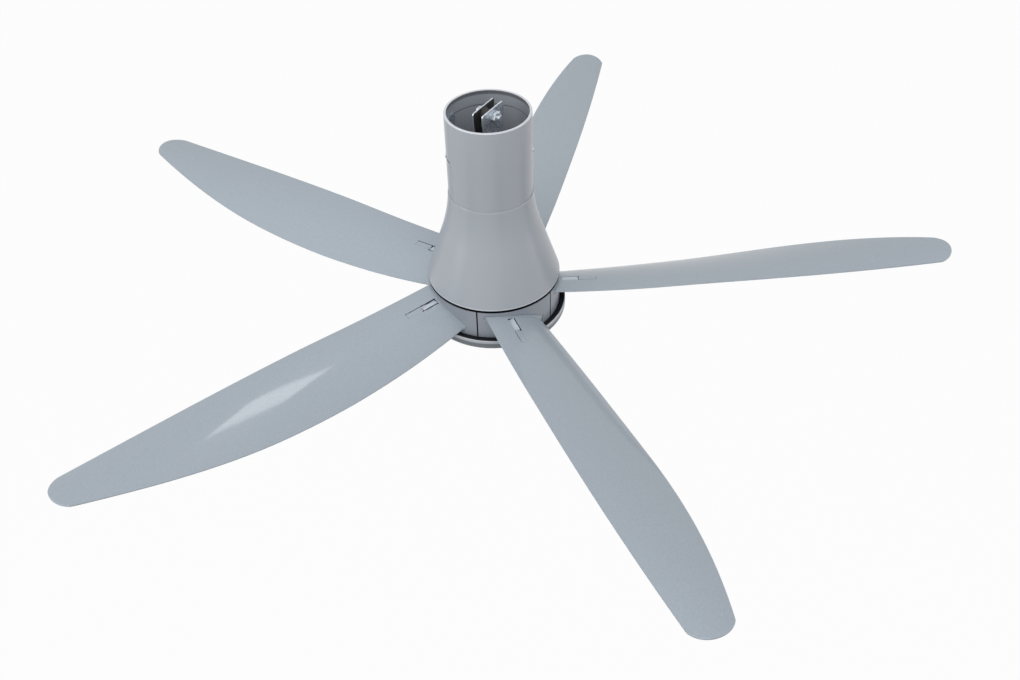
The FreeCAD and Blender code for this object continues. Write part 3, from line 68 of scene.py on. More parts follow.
scene = bpy.context.scene
level_right = CAMERA_LOOK.cross(Vector((0, 0, 1))).normalized()
level_up = level_right.cross(CAMERA_LOOK)
camera_right = level_right * math.cos(CAMERA_ROLL) + level_up * math.sin(CAMERA_ROLL)
camera_up = camera_right.cross(CAMERA_LOOK)
camera_data = bpy.data.cameras.new("photo_camera")
camera_data.lens = LENS
camera_data.sensor_width = SENSOR_WIDTH
camera = bpy.data.objects.new("photo_camera", camera_data)
scene.collection.objects.link(camera)
camera.matrix_world = Matrix.Translation(CAMERA_PLACE) @ Matrix(
    (camera_right, camera_up, -CAMERA_LOOK)).transposed().to_4x4()
scene.camera = camera
print("camera stands at", [round(v, 3) for v in CAMERA_PLACE])

# %% [markdown]
# ## Floor, light and background
# A fan like this hangs more than two metres over the floor, so its shadow there is wide and faint. The
# floor is a plain pale sheet. For the camera and for reflections it mostly shows white, and the rest of
# it is ordinary paint that takes the shadow. Two helpers keep node trees short: one sets a node's inputs,
# and one adds a node.


# %% Helpers for nodes
def set_inputs(tree, node, inputs):
    """Set a node's inputs by name, or link them to the output of another node."""
    for name, value in inputs.items():
        if isinstance(value, bpy.types.NodeSocket):
            tree.links.new(value, node.inputs[name])
        else:
            node.inputs[name].default_value = value


def add_node(tree, kind, inputs=None, **settings):
    """Add a node to a tree, with its properties and its inputs."""
    node = tree.nodes.new(kind)
    for name, value in settings.items():
        setattr(node, name, value)
    set_inputs(tree, node, inputs or {})
    return node


def seen_directly(tree):
    """A value that is 1 for rays from the camera, from gloss or through glass, and 0 for bounced light."""
    path = add_node(tree, "ShaderNodeLightPath").outputs
    both = add_node(tree, "ShaderNodeMath", {0: path["Is Camera Ray"], 1: path["Is Glossy Ray"]},
                    operation="MAXIMUM")
    return add_node(tree, "ShaderNodeMath", {0: both.outputs[0], 1: path["Is Transmission Ray"]},
                    operation="MAXIMUM").outputs[0]


# %% Floor
FLOOR_DROP = 2.4
FLOOR_HALF = 9.0
FLOOR_PAINT = (0.62, 0.62, 0.62, 1.0)
WHITE_SHARE = 0.96

bm = bmesh.new()
bmesh.ops.create_grid(bm, x_segments=1, y_segments=1, size=FLOOR_HALF)
bmesh.ops.translate(bm, vec=(0, 0, -FLOOR_DROP), verts=bm.verts)
floor_mesh = bpy.data.meshes.new("floor")
bm.to_mesh(floor_mesh)
bm.free()
floor = bpy.data.objects.new("floor", floor_mesh)
scene.collection.objects.link(floor)

pale = bpy.data.materials.new("pale_floor")
pale.use_nodes = True
tree = pale.node_tree
tree.nodes.clear()
paint = add_node(tree, "ShaderNodeBsdfDiffuse", {"Color": FLOOR_PAINT})
white = add_node(tree, "ShaderNodeEmission")
share = add_node(tree, "ShaderNodeMath", {0: seen_directly(tree), 1: WHITE_SHARE}, operation="MULTIPLY")
mix = add_node(tree, "ShaderNodeMixShader", {
    "Fac": share.outputs[0], 1: paint.outputs[0], 2: white.outputs[0]})
add_node(tree, "ShaderNodeOutputMaterial", {"Surface": mix.outputs[0]})
floor_mesh.materials.append(pale)
print("floor lies", FLOOR_DROP, "m under the hanger bolt")

# %% [markdown]
# The light is that of a white studio: an even glow from all round, stronger from the camera's side, and
# four soft boxes. A wide box overhead and a tall one on the left light the fan, a slim one on the right
# draws the bright line down the canopy's edge, and a small one above lies in the mirror direction of the
# lower left blade.

# %% Even glow
GLOW = 0.53
GLOW_SLOPE = 0.36
GLOW_SIDE = (0.30, -0.85, 0.43)
WHITE = (1.0, 1.0, 1.0, 1.0)

world = bpy.data.worlds.new("white_studio")
scene.world = world
world.use_nodes = True
tree = world.node_tree
tree.nodes.clear()
direction = add_node(tree, "ShaderNodeTexCoord").outputs["Generated"]
side = add_node(tree, "ShaderNodeVectorMath", {0: direction, 1: GLOW_SIDE}, operation="DOT_PRODUCT")
slope = add_node(tree, "ShaderNodeMath", {0: side.outputs["Value"], 1: GLOW_SLOPE, 2: GLOW},
                 operation="MULTIPLY_ADD")
strength = add_node(tree, "ShaderNodeMix", {"Factor": seen_directly(tree), "A": slope.outputs[0], "B": 1.0})
glow = add_node(tree, "ShaderNodeBackground", {"Color": WHITE, "Strength": strength.outputs["Result"]})
add_node(tree, "ShaderNodeOutputWorld", {"Surface": glow.outputs[0]})
scene.view_settings.view_transform = "Standard"


# %% Soft boxes
def soft_box(name, place, aim, width, height, watts):
    """A lamp behind a sheet of diffusing cloth, turned to a point."""
    lamp = bpy.data.lights.new(name, "AREA")
    lamp.shape = "RECTANGLE"
    lamp.size = width
    lamp.size_y = height
    lamp.energy = watts
    box = bpy.data.objects.new(name, lamp)
    scene.collection.objects.link(box)
    box.location = place
    box.rotation_euler = (Vector(aim) - Vector(place)).to_track_quat("-Z", "Y").to_euler()


HUB_MIDDLE = (0.0, 0.0, -0.2)
GLOSS_SPOT = (-0.13, -0.41, -0.30)
soft_box("overhead_box", (0.7, -1.3, 2.3), HUB_MIDDLE, width=2.0, height=2.0, watts=28.0)
soft_box("left_box", (-1.6, -2.2, 0.6), HUB_MIDDLE, width=0.9, height=2.4, watts=20.0)
soft_box("right_box", (2.1, 1.1, 0.3), HUB_MIDDLE, width=0.35, height=2.0, watts=6.0)
soft_box("gloss_box", (-0.27, 0.09, 0.80), GLOSS_SPOT, width=0.32, height=0.11, watts=0.85)

# %% [markdown]
# ## Finishes
# Nearly all that shows is moulded plastic painted silver grey. Up close such paint isn't one flat colour:
# fine flakes make it mottled, its gloss drifts slowly over the surface, and the moulding leaves a slight
# orange peel. Each of these is one noise texture on Object coordinates, so that the pattern keeps its
# real size on every part.

# %% Helpers for finishes
FINISHES = {}


def new_finish(name):
    """Start a finish: its node tree, its shader and the coordinates of the object that wears it."""
    finish = bpy.data.materials.new(name)
    finish.use_nodes = True
    FINISHES[name] = finish
    tree = finish.node_tree
    place = add_node(tree, "ShaderNodeTexCoord").outputs["Object"]
    return tree, tree.nodes["Principled BSDF"], place


def noise(tree, place, per_metre, detail=2.0, stretch=None):
    """Value of a noise texture with a number of blots to the metre."""
    if stretch:
        place = add_node(tree, "ShaderNodeMapping", {"Vector": place, "Scale": stretch}).outputs[0]
    made = add_node(tree, "ShaderNodeTexNoise", {"Vector": place, "Scale": per_metre, "Detail": detail})
    return made.outputs["Fac"]


def between(tree, value, low, high, start=0.3, end=0.7):
    """Turn a noise value into a number between two limits."""
    made = add_node(tree, "ShaderNodeMapRange", {
        "Value": value, "From Min": start, "From Max": end, "To Min": low, "To Max": high})
    return made.outputs[0]


def shades(tree, value, dark, light, start=0.3, end=0.7):
    """Turn a noise value into a colour between two shades."""
    ramp = add_node(tree, "ShaderNodeValToRGB", {"Fac": value})
    ramp.color_ramp.elements[0].position = start
    ramp.color_ramp.elements[0].color = (*dark, 1.0)
    ramp.color_ramp.elements[1].position = end
    ramp.color_ramp.elements[1].color = (*light, 1.0)
    return ramp.outputs["Color"]


def scaled(colour, factor):
    return tuple(channel * factor for channel in colour)


def grain(tree, height, depth):
    """Normals of a surface on which a noise value stands up by a depth in metres."""
    bump = add_node(tree, "ShaderNodeBump", {"Height": height, "Distance": depth})
    return bump.outputs[0]


# %% Helper for moulded plastics
DRIFT_BLOTS = 30.0
GLOSS_DRIFT = 0.012
COAT_ROUGHNESS = 0.08


def moulded(name, colour, roughness, mottle=0.03, flakes=900.0, peel=160.0, depth=0.00001, metal=0.0,
            shine=0.5, coat=0.0):
    """Moulded plastic: mottled colour, drifting gloss and a slight orange peel."""
    tree, shader, place = new_finish(name)
    fine = noise(tree, place, flakes, detail=3.0)
    drift = noise(tree, place, DRIFT_BLOTS)
    set_inputs(tree, shader, {
        "Base Color": shades(tree, fine, scaled(colour, 1 - mottle), scaled(colour, 1 + mottle)),
        "Roughness": between(tree, drift, roughness - GLOSS_DRIFT, roughness + GLOSS_DRIFT, 0.2, 0.8),
        "Normal": grain(tree, noise(tree, place, peel, detail=1.0), depth),
        "Metallic": metal,
        "Specular IOR Level": shine,
        "Coat Weight": coat,
        "Coat Roughness": COAT_ROUGHNESS,
    })


# %% Painted and moulded plastics
CANOPY_GREY = (0.335, 0.360, 0.395)
BLADE_GREY = (0.334, 0.380, 0.427)
# The pad's grey is lighter than the blade's, partly its own tone and partly a painted highlight.
LATCH_TONE_AND_HIGHLIGHT_GREY = (0.500, 0.550, 0.610)
# The hub's grey is darker than the canopy's: painted shade under the bell's overhang.
HUB_SHADED_GREY = (0.250, 0.275, 0.315)
DISH_SILVER = (0.370, 0.400, 0.436)
# Darker grey for the dish's lower side and underside: painted shade.
UNDERSIDE_SHADE_GREY = (0.150, 0.166, 0.184)
# Lighter grey for a few faces at rims and edges: a painted highlight.
PAINTED_HIGHLIGHT_GREY = (0.560, 0.585, 0.620)
# A darker copy of the canopy's grey for the band inside the mouth and the groove: painted dark reflection
# and painted shade.
MOUTH_SHADE_GREY = scaled(CANOPY_GREY, 0.55)
RING_BLACK = (0.006, 0.007, 0.009)
BOX_WHITE = (0.62, 0.62, 0.60)
COMPONENT_BLACK = (0.020, 0.021, 0.024)
TERMINAL_CREAM = (0.70, 0.69, 0.64)

moulded("canopy_plastic", CANOPY_GREY, 0.30, mottle=0.02)
moulded("blade_plastic", BLADE_GREY, 0.35, mottle=0.05, flakes=420.0, peel=220.0, depth=0.000003,
        shine=0.15, coat=0.5)
moulded("latch_plastic", LATCH_TONE_AND_HIGHLIGHT_GREY, 0.24, mottle=0.04, flakes=420.0, peel=220.0)
moulded("hub_plastic", HUB_SHADED_GREY, 0.36)
moulded("silver_trim", DISH_SILVER, 0.30, mottle=0.05, flakes=1500.0, metal=0.15)
moulded("underside_shade_plastic", UNDERSIDE_SHADE_GREY, 0.34, shine=0.3)
moulded("painted_highlight_plastic", PAINTED_HIGHLIGHT_GREY, 0.22, mottle=0.02)
moulded("mouth_shade_plastic", MOUTH_SHADE_GREY, 0.34, mottle=0.02)
moulded("black_plastic", RING_BLACK, 0.42, mottle=0.15, peel=700.0, depth=0.00002, shine=0.2)
moulded("box_plastic", BOX_WHITE, 0.48, mottle=0.02, peel=900.0, depth=0.00002)
moulded("component_plastic", COMPONENT_BLACK, 0.45, mottle=0.12)
moulded("terminal_plastic", TERMINAL_CREAM, 0.40, mottle=0.02, peel=600.0)
print("plastics:", sorted(FINISHES))

# %% [markdown]
# The hanger, the pipe and the screws are zinc-plated steel. Fresh zinc is bright and slightly blue, with
# faint cloudy patches left by the bath and fine lines from rolling the sheet. The motor inside has its
# own metals: a cast shell, ground bearing steel, stacked core sheets and wound copper. Sheets and
# windings are drawn by a wave texture, which is as even as they are.

# %% Helpers for metals
LINES_PER_METRE = 260.0
LINE_DEPTH = 0.00001
BAND_WOBBLE = 0.3
BAND_DRIFT = 0.06
UNDRAWN = (1.0, 1.0, 1.0)


def plated(name, dark, light, roughness, lines=(1.0, 1.0, 14.0), clouds=70.0, scratch=0.06, metal=1.0):
    """Metal with cloudy patches and fine drawn lines."""
    tree, shader, place = new_finish(name)
    cloud = noise(tree, place, clouds, detail=4.0)
    drawn = noise(tree, place, LINES_PER_METRE, detail=3.0, stretch=lines)
    set_inputs(tree, shader, {
        "Base Color": shades(tree, cloud, dark, light),
        "Roughness": between(tree, drawn, roughness - scratch, roughness + scratch),
        "Normal": grain(tree, drawn, LINE_DEPTH),
        "Metallic": metal,
    })


def banded(name, dark, light, roughness, per_metre, depth):
    """Stacked sheets or wound wire: fine bands across Z, a number of them to the metre."""
    tree, shader, place = new_finish(name)
    wave = add_node(tree, "ShaderNodeTexWave", {
        "Vector": place, "Scale": per_metre, "Distortion": BAND_WOBBLE}, bands_direction="Z")
    drift = noise(tree, place, 90.0)
    set_inputs(tree, shader, {
        "Base Color": shades(tree, wave.outputs["Fac"], dark, light, 0.2, 0.8),
        "Roughness": between(tree, drift, roughness - BAND_DRIFT, roughness + BAND_DRIFT),
        "Normal": grain(tree, wave.outputs["Fac"], depth),
        "Metallic": 1.0,
    })


# %% Metals
plated("plated_steel", (0.40, 0.45, 0.51), (0.62, 0.67, 0.72), 0.26, metal=0.65)
plated("sintered_bronze", (0.42, 0.26, 0.12), (0.62, 0.42, 0.22), 0.42, clouds=400.0)
plated("bearing_steel", (0.60, 0.61, 0.62), (0.70, 0.71, 0.72), 0.16, scratch=0.04)
plated("cast_alloy", (0.42, 0.43, 0.44), (0.58, 0.59, 0.60), 0.50, lines=UNDRAWN, clouds=180.0)
plated("magnet", (0.16, 0.16, 0.17), (0.24, 0.24, 0.25), 0.44, lines=UNDRAWN, clouds=250.0)
banded("laminated_steel", (0.22, 0.23, 0.25), (0.46, 0.47, 0.49), 0.42, per_metre=320.0, depth=0.00003)
banded("copper_coil", (0.36, 0.12, 0.05), (0.78, 0.36, 0.18), 0.34, per_metre=260.0, depth=0.00012)
print("metals added:", len(FINISHES), "finishes so far")

# %% [markdown]
# Three finishes are left: the rubber of the hanger roller, which is dull and a little dusty, the
# lacquered circuit board with its tracks, and the smoky lens that lets the remote control's signal
# through. Dust is one more noise, the tracks are a brick texture turned upright, and the lens is nearly
# black under a clear coat.

# %% Rubber
RUBBER_DARK = (0.012, 0.012, 0.013)
RUBBER_DUSTY = (0.040, 0.040, 0.042)

tree, shader, place = new_finish("hanger_rubber")
dust = noise(tree, place, 260.0, detail=5.0)
set_inputs(tree, shader, {
    "Base Color": shades(tree, dust, RUBBER_DARK, RUBBER_DUSTY),
    "Roughness": between(tree, dust, 0.62, 0.82),
    "Normal": grain(tree, noise(tree, place, 1400.0), depth=0.00004),
})

# %% Circuit board
BOARD_DARK = (0.010, 0.075, 0.030, 1.0)
BOARD_LIGHT = (0.016, 0.110, 0.045, 1.0)
TRACK_GREEN = (0.05, 0.20, 0.08, 1.0)
QUARTER_TURN = math.radians(90)

tree, shader, place = new_finish("circuit_board")
upright = add_node(tree, "ShaderNodeMapping", {"Vector": place, "Rotation": (0.0, QUARTER_TURN, 0.0)})
tracks = add_node(tree, "ShaderNodeTexBrick", {
    "Vector": upright.outputs[0], "Scale": 90.0, "Mortar Size": 0.03,
    "Color1": BOARD_DARK, "Color2": BOARD_LIGHT, "Mortar": TRACK_GREEN})
set_inputs(tree, shader, {
    "Base Color": tracks.outputs["Color"],
    "Roughness": between(tree, noise(tree, place, 120.0), 0.24, 0.36),
    "Normal": grain(tree, tracks.outputs["Fac"], depth=0.00003),
})

# %% Lens
SMOKE_DARK = (0.010, 0.006, 0.008)
SMOKE_LIGHT = (0.026, 0.012, 0.016)

tree, shader, place = new_finish("dark_lens")
set_inputs(tree, shader, {
    "Base Color": shades(tree, noise(tree, place, 220.0), SMOKE_DARK, SMOKE_LIGHT),
    "Roughness": between(tree, noise(tree, place, 60.0), 0.05, 0.12),
    "Coat Weight": 1.0,
    "Coat Roughness": 0.03,
})
print("finishes:", len(FINISHES))

# %% [markdown]
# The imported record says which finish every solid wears, so the solids that stay as they are can be
# dressed in one loop. The parts modelled below take theirs by the same names.

# %% Dress the solids
for row in frame["record"]["subparts"]:
    for material_slot in frame["nodes"][row["node"]].material_slots:
        material_slot.material = FINISHES[row["material_slot"]]

# %% [markdown]
# ## Turned parts
# Canopy, bell, ring and dish are round about the fan's axis. A lathe would cut them from an outline, and
# Blender's spin operator does the same: a chain of edges in the XZ plane is carried once round Z. Arcs in
# the outline are made by spin too, by carrying a single point round the arc's centre.


# %% Helpers for outlines
def start_at(bm, radius, z):
    return bm.verts.new((radius * MM, 0.0, z * MM))


def line_to(bm, last, radius, z):
    point = start_at(bm, radius, z)
    bm.edges.new((last, point))
    return point


def arc_to(bm, last, radius, z, turn, steps):
    """Carry the outline round a centre. A positive turn leads from outwards to upwards."""
    arc = bmesh.ops.spin(bm, geom=[last], cent=(radius * MM, 0.0, z * MM), axis=(0.0, -1.0, 0.0),
                         angle=math.radians(turn), steps=steps)
    return next(part for part in arc["geom_last"] if isinstance(part, bmesh.types.BMVert))


def closed_outline(bm, outline):
    """Draw a closed outline through radii and heights, and return its points."""
    points = [start_at(bm, *outline[0])]
    for place in outline[1:]:
        points.append(line_to(bm, points[-1], *place))
    bm.edges.new((points[-1], points[0]))
    return points


def soften(bm, points, radius, segments):
    """Round corners of an outline."""
    bmesh.ops.bevel(bm, geom=points, offset=radius * MM, offset_type="OFFSET", affect="VERTICES",
                    segments=segments, profile=0.5, material=-1)


def turn_about_z(bm, degrees):
    turn = Matrix.Rotation(math.radians(degrees), 3, "Z")
    bmesh.ops.rotate(bm, verts=bm.verts, cent=(0, 0, 0), matrix=turn)


def spin_round(bm, steps):
    """Carry a closed outline once round Z and close the turn."""
    bmesh.ops.spin(bm, geom=bm.verts[:] + bm.edges[:], cent=(0, 0, 0), axis=(0, 0, 1), angle=2 * math.pi,
                   steps=steps, use_merge=True)


# %% [markdown]
# Every shape ends as a piece: an object with its finishes that rides on one of the fan's bodies and
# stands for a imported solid. Points that coincide are merged first, and edges sharper than an angle are
# drawn crisp. Where edge is given, a bevel modifier rounds the sharp edges.

# %% Helper for pieces
MERGE_GAP = 0.002
SHARP_TURN = math.radians(50)


def new_piece(name, bm, body, slot, *nodes, more=(), crisp=35.0, edge=0.0):
    """Make an object of a bmesh, dress it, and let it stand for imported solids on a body."""
    bmesh.ops.remove_doubles(bm, verts=bm.verts, dist=MERGE_GAP * MM)
    bmesh.ops.recalc_face_normals(bm, faces=bm.faces)
    mesh = bpy.data.meshes.new(name)
    bm.to_mesh(mesh)
    bm.free()
    mesh.shade_smooth()
    mesh.set_sharp_from_angle(angle=math.radians(crisp))
    mesh.materials.append(FINISHES[slot])
    piece = bpy.data.objects.new(name, mesh)
    scene.collection.objects.link(piece)
    if edge:
        rounding = piece.modifiers.new("soft_edges", "BEVEL")
        rounding.width = edge * MM
        rounding.segments = 2
        rounding.limit_method = "ANGLE"
        rounding.angle_limit = SHARP_TURN
        rounding.harden_normals = True
    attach(piece, body)
    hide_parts(*nodes)
    for other in more:
        mesh.materials.append(FINISHES[other])
    print(name, "has", len(mesh.polygons), "faces and rides on", body)


# %% [markdown]
# The canopy is a plain sleeve that slides up against the ceiling. Its rim is thick and round, a fine
# groove runs round inside the mouth, and two cross slits let its screws be tightened. After the spin the
# faces of each slit are deleted from both walls, and bridge_loops closes the cut between them. A Boolean
# could cut them too, but this keeps the wall's faces even. The rim's top faces wear a lighter grey, a
# painted highlight. The band under the rim wears a darker grey, a painted dark reflection, and the groove
# wears the same darker grey as painted shade.

# %% Canopy sizes
SLEEVE_RADIUS = 65.0
SLEEVE_BORE = 62.8
SLEEVE_LOW = -188.0
RIM = 6.5
RIM_BORE = 61.2
RIM_LOW = 3.5
RIM_HIGHLIGHT = 1.25
BAND_LOW = -1.5
GROOVE_BORE = 63.7
GROOVE_HIGH, GROOVE_LOW = -17.6, -19.2
SLIT_HIGH, SLIT_LOW = -62.3, -65.7
SLIT_START = 215.5
SLIT_SWEEP = 24.0
SLEEVE_STEPS = 120
NEAR = 0.1
SLEEVE_OUTLINE = (
    (SLEEVE_RADIUS, SLEEVE_LOW), (SLEEVE_RADIUS, SLIT_LOW), (SLEEVE_RADIUS, SLIT_HIGH),
    (SLEEVE_RADIUS, RIM), (RIM_BORE, RIM), (RIM_BORE, RIM_LOW), (SLEEVE_BORE, RIM_LOW),
    (SLEEVE_BORE, BAND_LOW), (SLEEVE_BORE, GROOVE_HIGH), (GROOVE_BORE, GROOVE_HIGH),
    (GROOVE_BORE, GROOVE_LOW), (SLEEVE_BORE, GROOVE_LOW), (SLEEVE_BORE, SLIT_HIGH),
    (SLEEVE_BORE, SLIT_LOW), (SLEEVE_BORE, SLEEVE_LOW))


# %% Canopy sleeve
def in_slit(face, start):
    middle = face.calc_center_median() / MM
    turn = math.degrees(math.atan2(middle.y, middle.x)) - start
    return SLIT_LOW < middle.z < SLIT_HIGH and 0 < turn % 360 < SLIT_SWEEP


bm = bmesh.new()
rim_out, rim_in, rim_low = closed_outline(bm, SLEEVE_OUTLINE)[3:6]
soften(bm, [rim_out], radius=1.2, segments=6)
soften(bm, [rim_in, rim_low], radius=0.5, segments=4)
spin_round(bm, SLEEVE_STEPS)
turn_about_z(bm, SLIT_START)
for start in (SLIT_START, SLIT_START + 180):
    cut = [face for face in bm.faces if in_slit(face, start)]
    bmesh.ops.delete(bm, geom=cut, context="FACES")
    bmesh.ops.bridge_loops(bm, edges=[edge for edge in bm.edges if edge.is_boundary])
# The rim's top faces get the painted highlight; the band under the rim gets a painted dark reflection, the
# groove painted shade.
for face in bm.faces:
    middle = face.calc_center_median() / MM
    inside = middle.xy.length < GROOVE_BORE + NEAR
    in_groove = GROOVE_LOW - NEAR < middle.z < GROOVE_HIGH + NEAR
    if middle.z > RIM - RIM_HIGHLIGHT:
        face.material_index = 1
    elif inside and (middle.z > BAND_LOW or in_groove):
        face.material_index = 2
new_piece("canopy_shell", bm, "canopy", "canopy_plastic", "canopy_sleeve",
          more=("painted_highlight_plastic", "mouth_shade_plastic"), edge=0.25)

# %% [markdown]
# The bell hides the motor's wiring. Its neck takes the canopy with a fine seam, then it flares in one
# long arc into a straight flank and rolls under in a round lip, where a band of faces wears a lighter
# grey as a painted highlight. The outline runs down the outside and back up the inside, where a ledge
# carries the bell's screws. Arcs keep the flare smoother than points set by eye.

# %% Bell sizes
SEAM = -128.0
BELL_LOW = -287.4
BELL_WALL = 2.5
NECK_BORE = 65.2
NECK_EDGE = 65.5
NECK_RADIUS = 65.9
NECK_ANGLE = 3.0
FLANK_ANGLE = 18.0
BEND_RADIUS = 272.712
BEND_CENTRE = (NECK_RADIUS + BEND_RADIUS * math.cos(math.radians(NECK_ANGLE)),
               SEAM + BEND_RADIUS * math.sin(math.radians(NECK_ANGLE)))
NECK_END_ANGLE = 3.13
BORE_END_ANGLE = math.degrees(math.acos((BEND_CENTRE[0] - NECK_BORE) / (BEND_RADIUS + BELL_WALL)))
LIP_CENTRE = (102.416, -283.4)
LIP_RADIUS = 4.0
HIGHLIGHT_BELOW, HIGHLIGHT_ABOVE, HIGHLIGHT_OUT = 2.5, 0.5, 2.8
LEDGE_IN, LEDGE_LOW, LEDGE_HIGH = 82.116, -258.5, -254.5
ROUND_STEPS = 144


def round_centre(centre, radius, angle):
    """Point of an outline at an angle round a centre."""
    turn = math.radians(angle)
    return centre[0] + radius * math.cos(turn), centre[1] + radius * math.sin(turn)


def flank_inside(z):
    """Radius of the bell's inner side along its straight flank."""
    radius, low = round_centre(LIP_CENTRE, LIP_RADIUS - BELL_WALL, FLANK_ANGLE)
    return radius - (z - low) * math.tan(math.radians(FLANK_ANGLE))


# %% Bell
bm = bmesh.new()
first = start_at(bm, NECK_EDGE, SEAM)
point = line_to(bm, first, *round_centre(BEND_CENTRE, BEND_RADIUS, 180 + NECK_END_ANGLE))
point = arc_to(bm, point, *BEND_CENTRE, FLANK_ANGLE - NECK_END_ANGLE, steps=20)
point = line_to(bm, point, *round_centre(LIP_CENTRE, LIP_RADIUS, FLANK_ANGLE))
point = arc_to(bm, point, *LIP_CENTRE, -90 - FLANK_ANGLE, steps=14)
point = line_to(bm, point, LIP_CENTRE[0], BELL_LOW + BELL_WALL)
point = arc_to(bm, point, *LIP_CENTRE, 90 + FLANK_ANGLE, steps=10)
for radius, z in ((flank_inside(LEDGE_LOW), LEDGE_LOW), (LEDGE_IN, LEDGE_LOW), (LEDGE_IN, LEDGE_HIGH),
                  (flank_inside(LEDGE_HIGH), LEDGE_HIGH)):
    point = line_to(bm, point, radius, z)
point = line_to(bm, point, *round_centre(BEND_CENTRE, BEND_RADIUS + BELL_WALL, 180 + FLANK_ANGLE))
point = arc_to(bm, point, *BEND_CENTRE, BORE_END_ANGLE - FLANK_ANGLE, steps=12)
point = line_to(bm, point, NECK_BORE, SEAM)
bm.edges.new((point, first))
spin_round(bm, ROUND_STEPS)
# A band of faces round the lip's outer edge wears the lighter grey: a painted highlight.
for face in bm.faces:
    middle = face.calc_center_median() / MM
    face.material_index = int(LIP_CENTRE[1] - HIGHLIGHT_BELOW < middle.z < LIP_CENTRE[1] + HIGHLIGHT_ABOVE
                              and middle.xy.length > LIP_CENTRE[0] + HIGHLIGHT_OUT)
new_piece("bell_shell", bm, "frame", "canopy_plastic", "bell_cover", more=("painted_highlight_plastic",))

# %% [markdown]
# Under the hub lie a black dust ring, which runs round the hub's lower edge with a small gap, and a dish
# that closes the fan from below. Both are turned the same way, with softened corners that catch the
# light. The dish has a silver band with a lighter top edge, a painted highlight, and below the band a
# darker grey, painted shade on its lower side and underside.

# %% Dust ring
RING_BORE, RING_FOOT, RING_RADIUS, LIP_BORE = 68.0, 109.464, 114.764, 107.964
RING_LOW, RING_FLOOR, RING_STEP, RING_TOP = -344.0, -342.0, -339.5, -337.5
RING_OUTLINE = ((RING_BORE, RING_LOW), (RING_FOOT, RING_LOW), (RING_FOOT, RING_STEP),
                (RING_RADIUS, RING_STEP), (RING_RADIUS, RING_TOP), (LIP_BORE, RING_TOP),
                (LIP_BORE, RING_FLOOR), (RING_BORE, RING_FLOOR))

bm = bmesh.new()
points = closed_outline(bm, RING_OUTLINE)
soften(bm, points[3:6], radius=0.5, segments=3)
spin_round(bm, ROUND_STEPS)
new_piece("dust_ring_black", bm, "frame", "black_plastic", "dust_ring")

# %% Dish sizes
DISH_TOP = -339.5
DISH_RADIUS = 115.964
DISH_BAND = -344.5
DISH_SIDE_LOW = -349.0
DISH_LOW = -366.0
DISH_WALL = 2.0
DISH_HIGHLIGHT = 0.65
SHOULDER_IN, SHOULDER_DROP = 7.5, 10.0
SHOULDER_RADIUS = (SHOULDER_IN ** 2 + SHOULDER_DROP ** 2) / (2 * SHOULDER_IN)
SHOULDER_TURN = math.degrees(math.asin(SHOULDER_DROP / SHOULDER_RADIUS))
SHOULDER_CENTRE = (DISH_RADIUS - SHOULDER_RADIUS, DISH_SIDE_LOW)
LENS_HOLE = 8.2


def dome_of(inset):
    """Centre height, radius, edge angle and hole angle of the dome, drawn in by a wall."""
    edge_radius, edge_z = round_centre(SHOULDER_CENTRE, SHOULDER_RADIUS - inset, -SHOULDER_TURN)
    depth = edge_z - (DISH_LOW + inset)
    radius = (edge_radius ** 2 + depth ** 2) / (2 * depth)
    edge_angle = math.degrees(math.asin(edge_radius / radius))
    return DISH_LOW + inset + radius, radius, edge_angle, math.degrees(math.asin(LENS_HOLE / radius))


# %% Bottom dish
dish = bmesh.new()
rim_in = start_at(dish, DISH_RADIUS - DISH_WALL, DISH_TOP)
rim_out = line_to(dish, rim_in, DISH_RADIUS, DISH_TOP)
point = line_to(dish, rim_out, DISH_RADIUS, DISH_BAND)
point = line_to(dish, point, DISH_RADIUS, DISH_SIDE_LOW)
point = arc_to(dish, point, *SHOULDER_CENTRE, -SHOULDER_TURN, steps=12)
dome_z, dome_radius, edge_angle, hole_angle = dome_of(0.0)
point = arc_to(dish, point, 0.0, dome_z, hole_angle - edge_angle, steps=16)
dome_z, dome_radius, edge_angle, hole_angle = dome_of(DISH_WALL)
point = line_to(dish, point, *round_centre((0.0, dome_z), dome_radius, hole_angle - 90))
point = arc_to(dish, point, 0.0, dome_z, edge_angle - hole_angle, steps=12)
point = line_to(dish, point, *round_centre(SHOULDER_CENTRE, SHOULDER_RADIUS - DISH_WALL, -SHOULDER_TURN))
point = arc_to(dish, point, *SHOULDER_CENTRE, SHOULDER_TURN, steps=8)
dish.edges.new((point, rim_in))
soften(dish, [rim_in, rim_out], radius=0.6, segments=4)
spin_round(dish, ROUND_STEPS)
print("dish has", len(dish.faces), "faces")

# %% [markdown]
# Three screws hold the dish from below, each deep in its own post. Posts and recesses are added with
# Boolean, which joins or cuts closed shapes. The result is read back at once, so nothing else stays in
# the scene.


# %% Helpers for joining and cutting
def carve(bm, tool, operation):
    """Join or cut a bmesh with another and return the result."""
    pair = []
    for shape in (bm, tool):
        bmesh.ops.remove_doubles(shape, verts=shape.verts, dist=MERGE_GAP * MM)
        bmesh.ops.recalc_face_normals(shape, faces=shape.faces)
        mesh = bpy.data.meshes.new("carving")
        shape.to_mesh(mesh)
        shape.free()
        pair.append(bpy.data.objects.new("carving", mesh))
        scene.collection.objects.link(pair[-1])
    boolean = pair[0].modifiers.new("carve", "BOOLEAN")
    boolean.operation = operation
    boolean.solver = "EXACT"
    boolean.object = pair[1]
    result = bmesh.new()
    result.from_object(pair[0], bpy.context.evaluated_depsgraph_get())
    for used in pair:
        bpy.data.objects.remove(used)
    return result


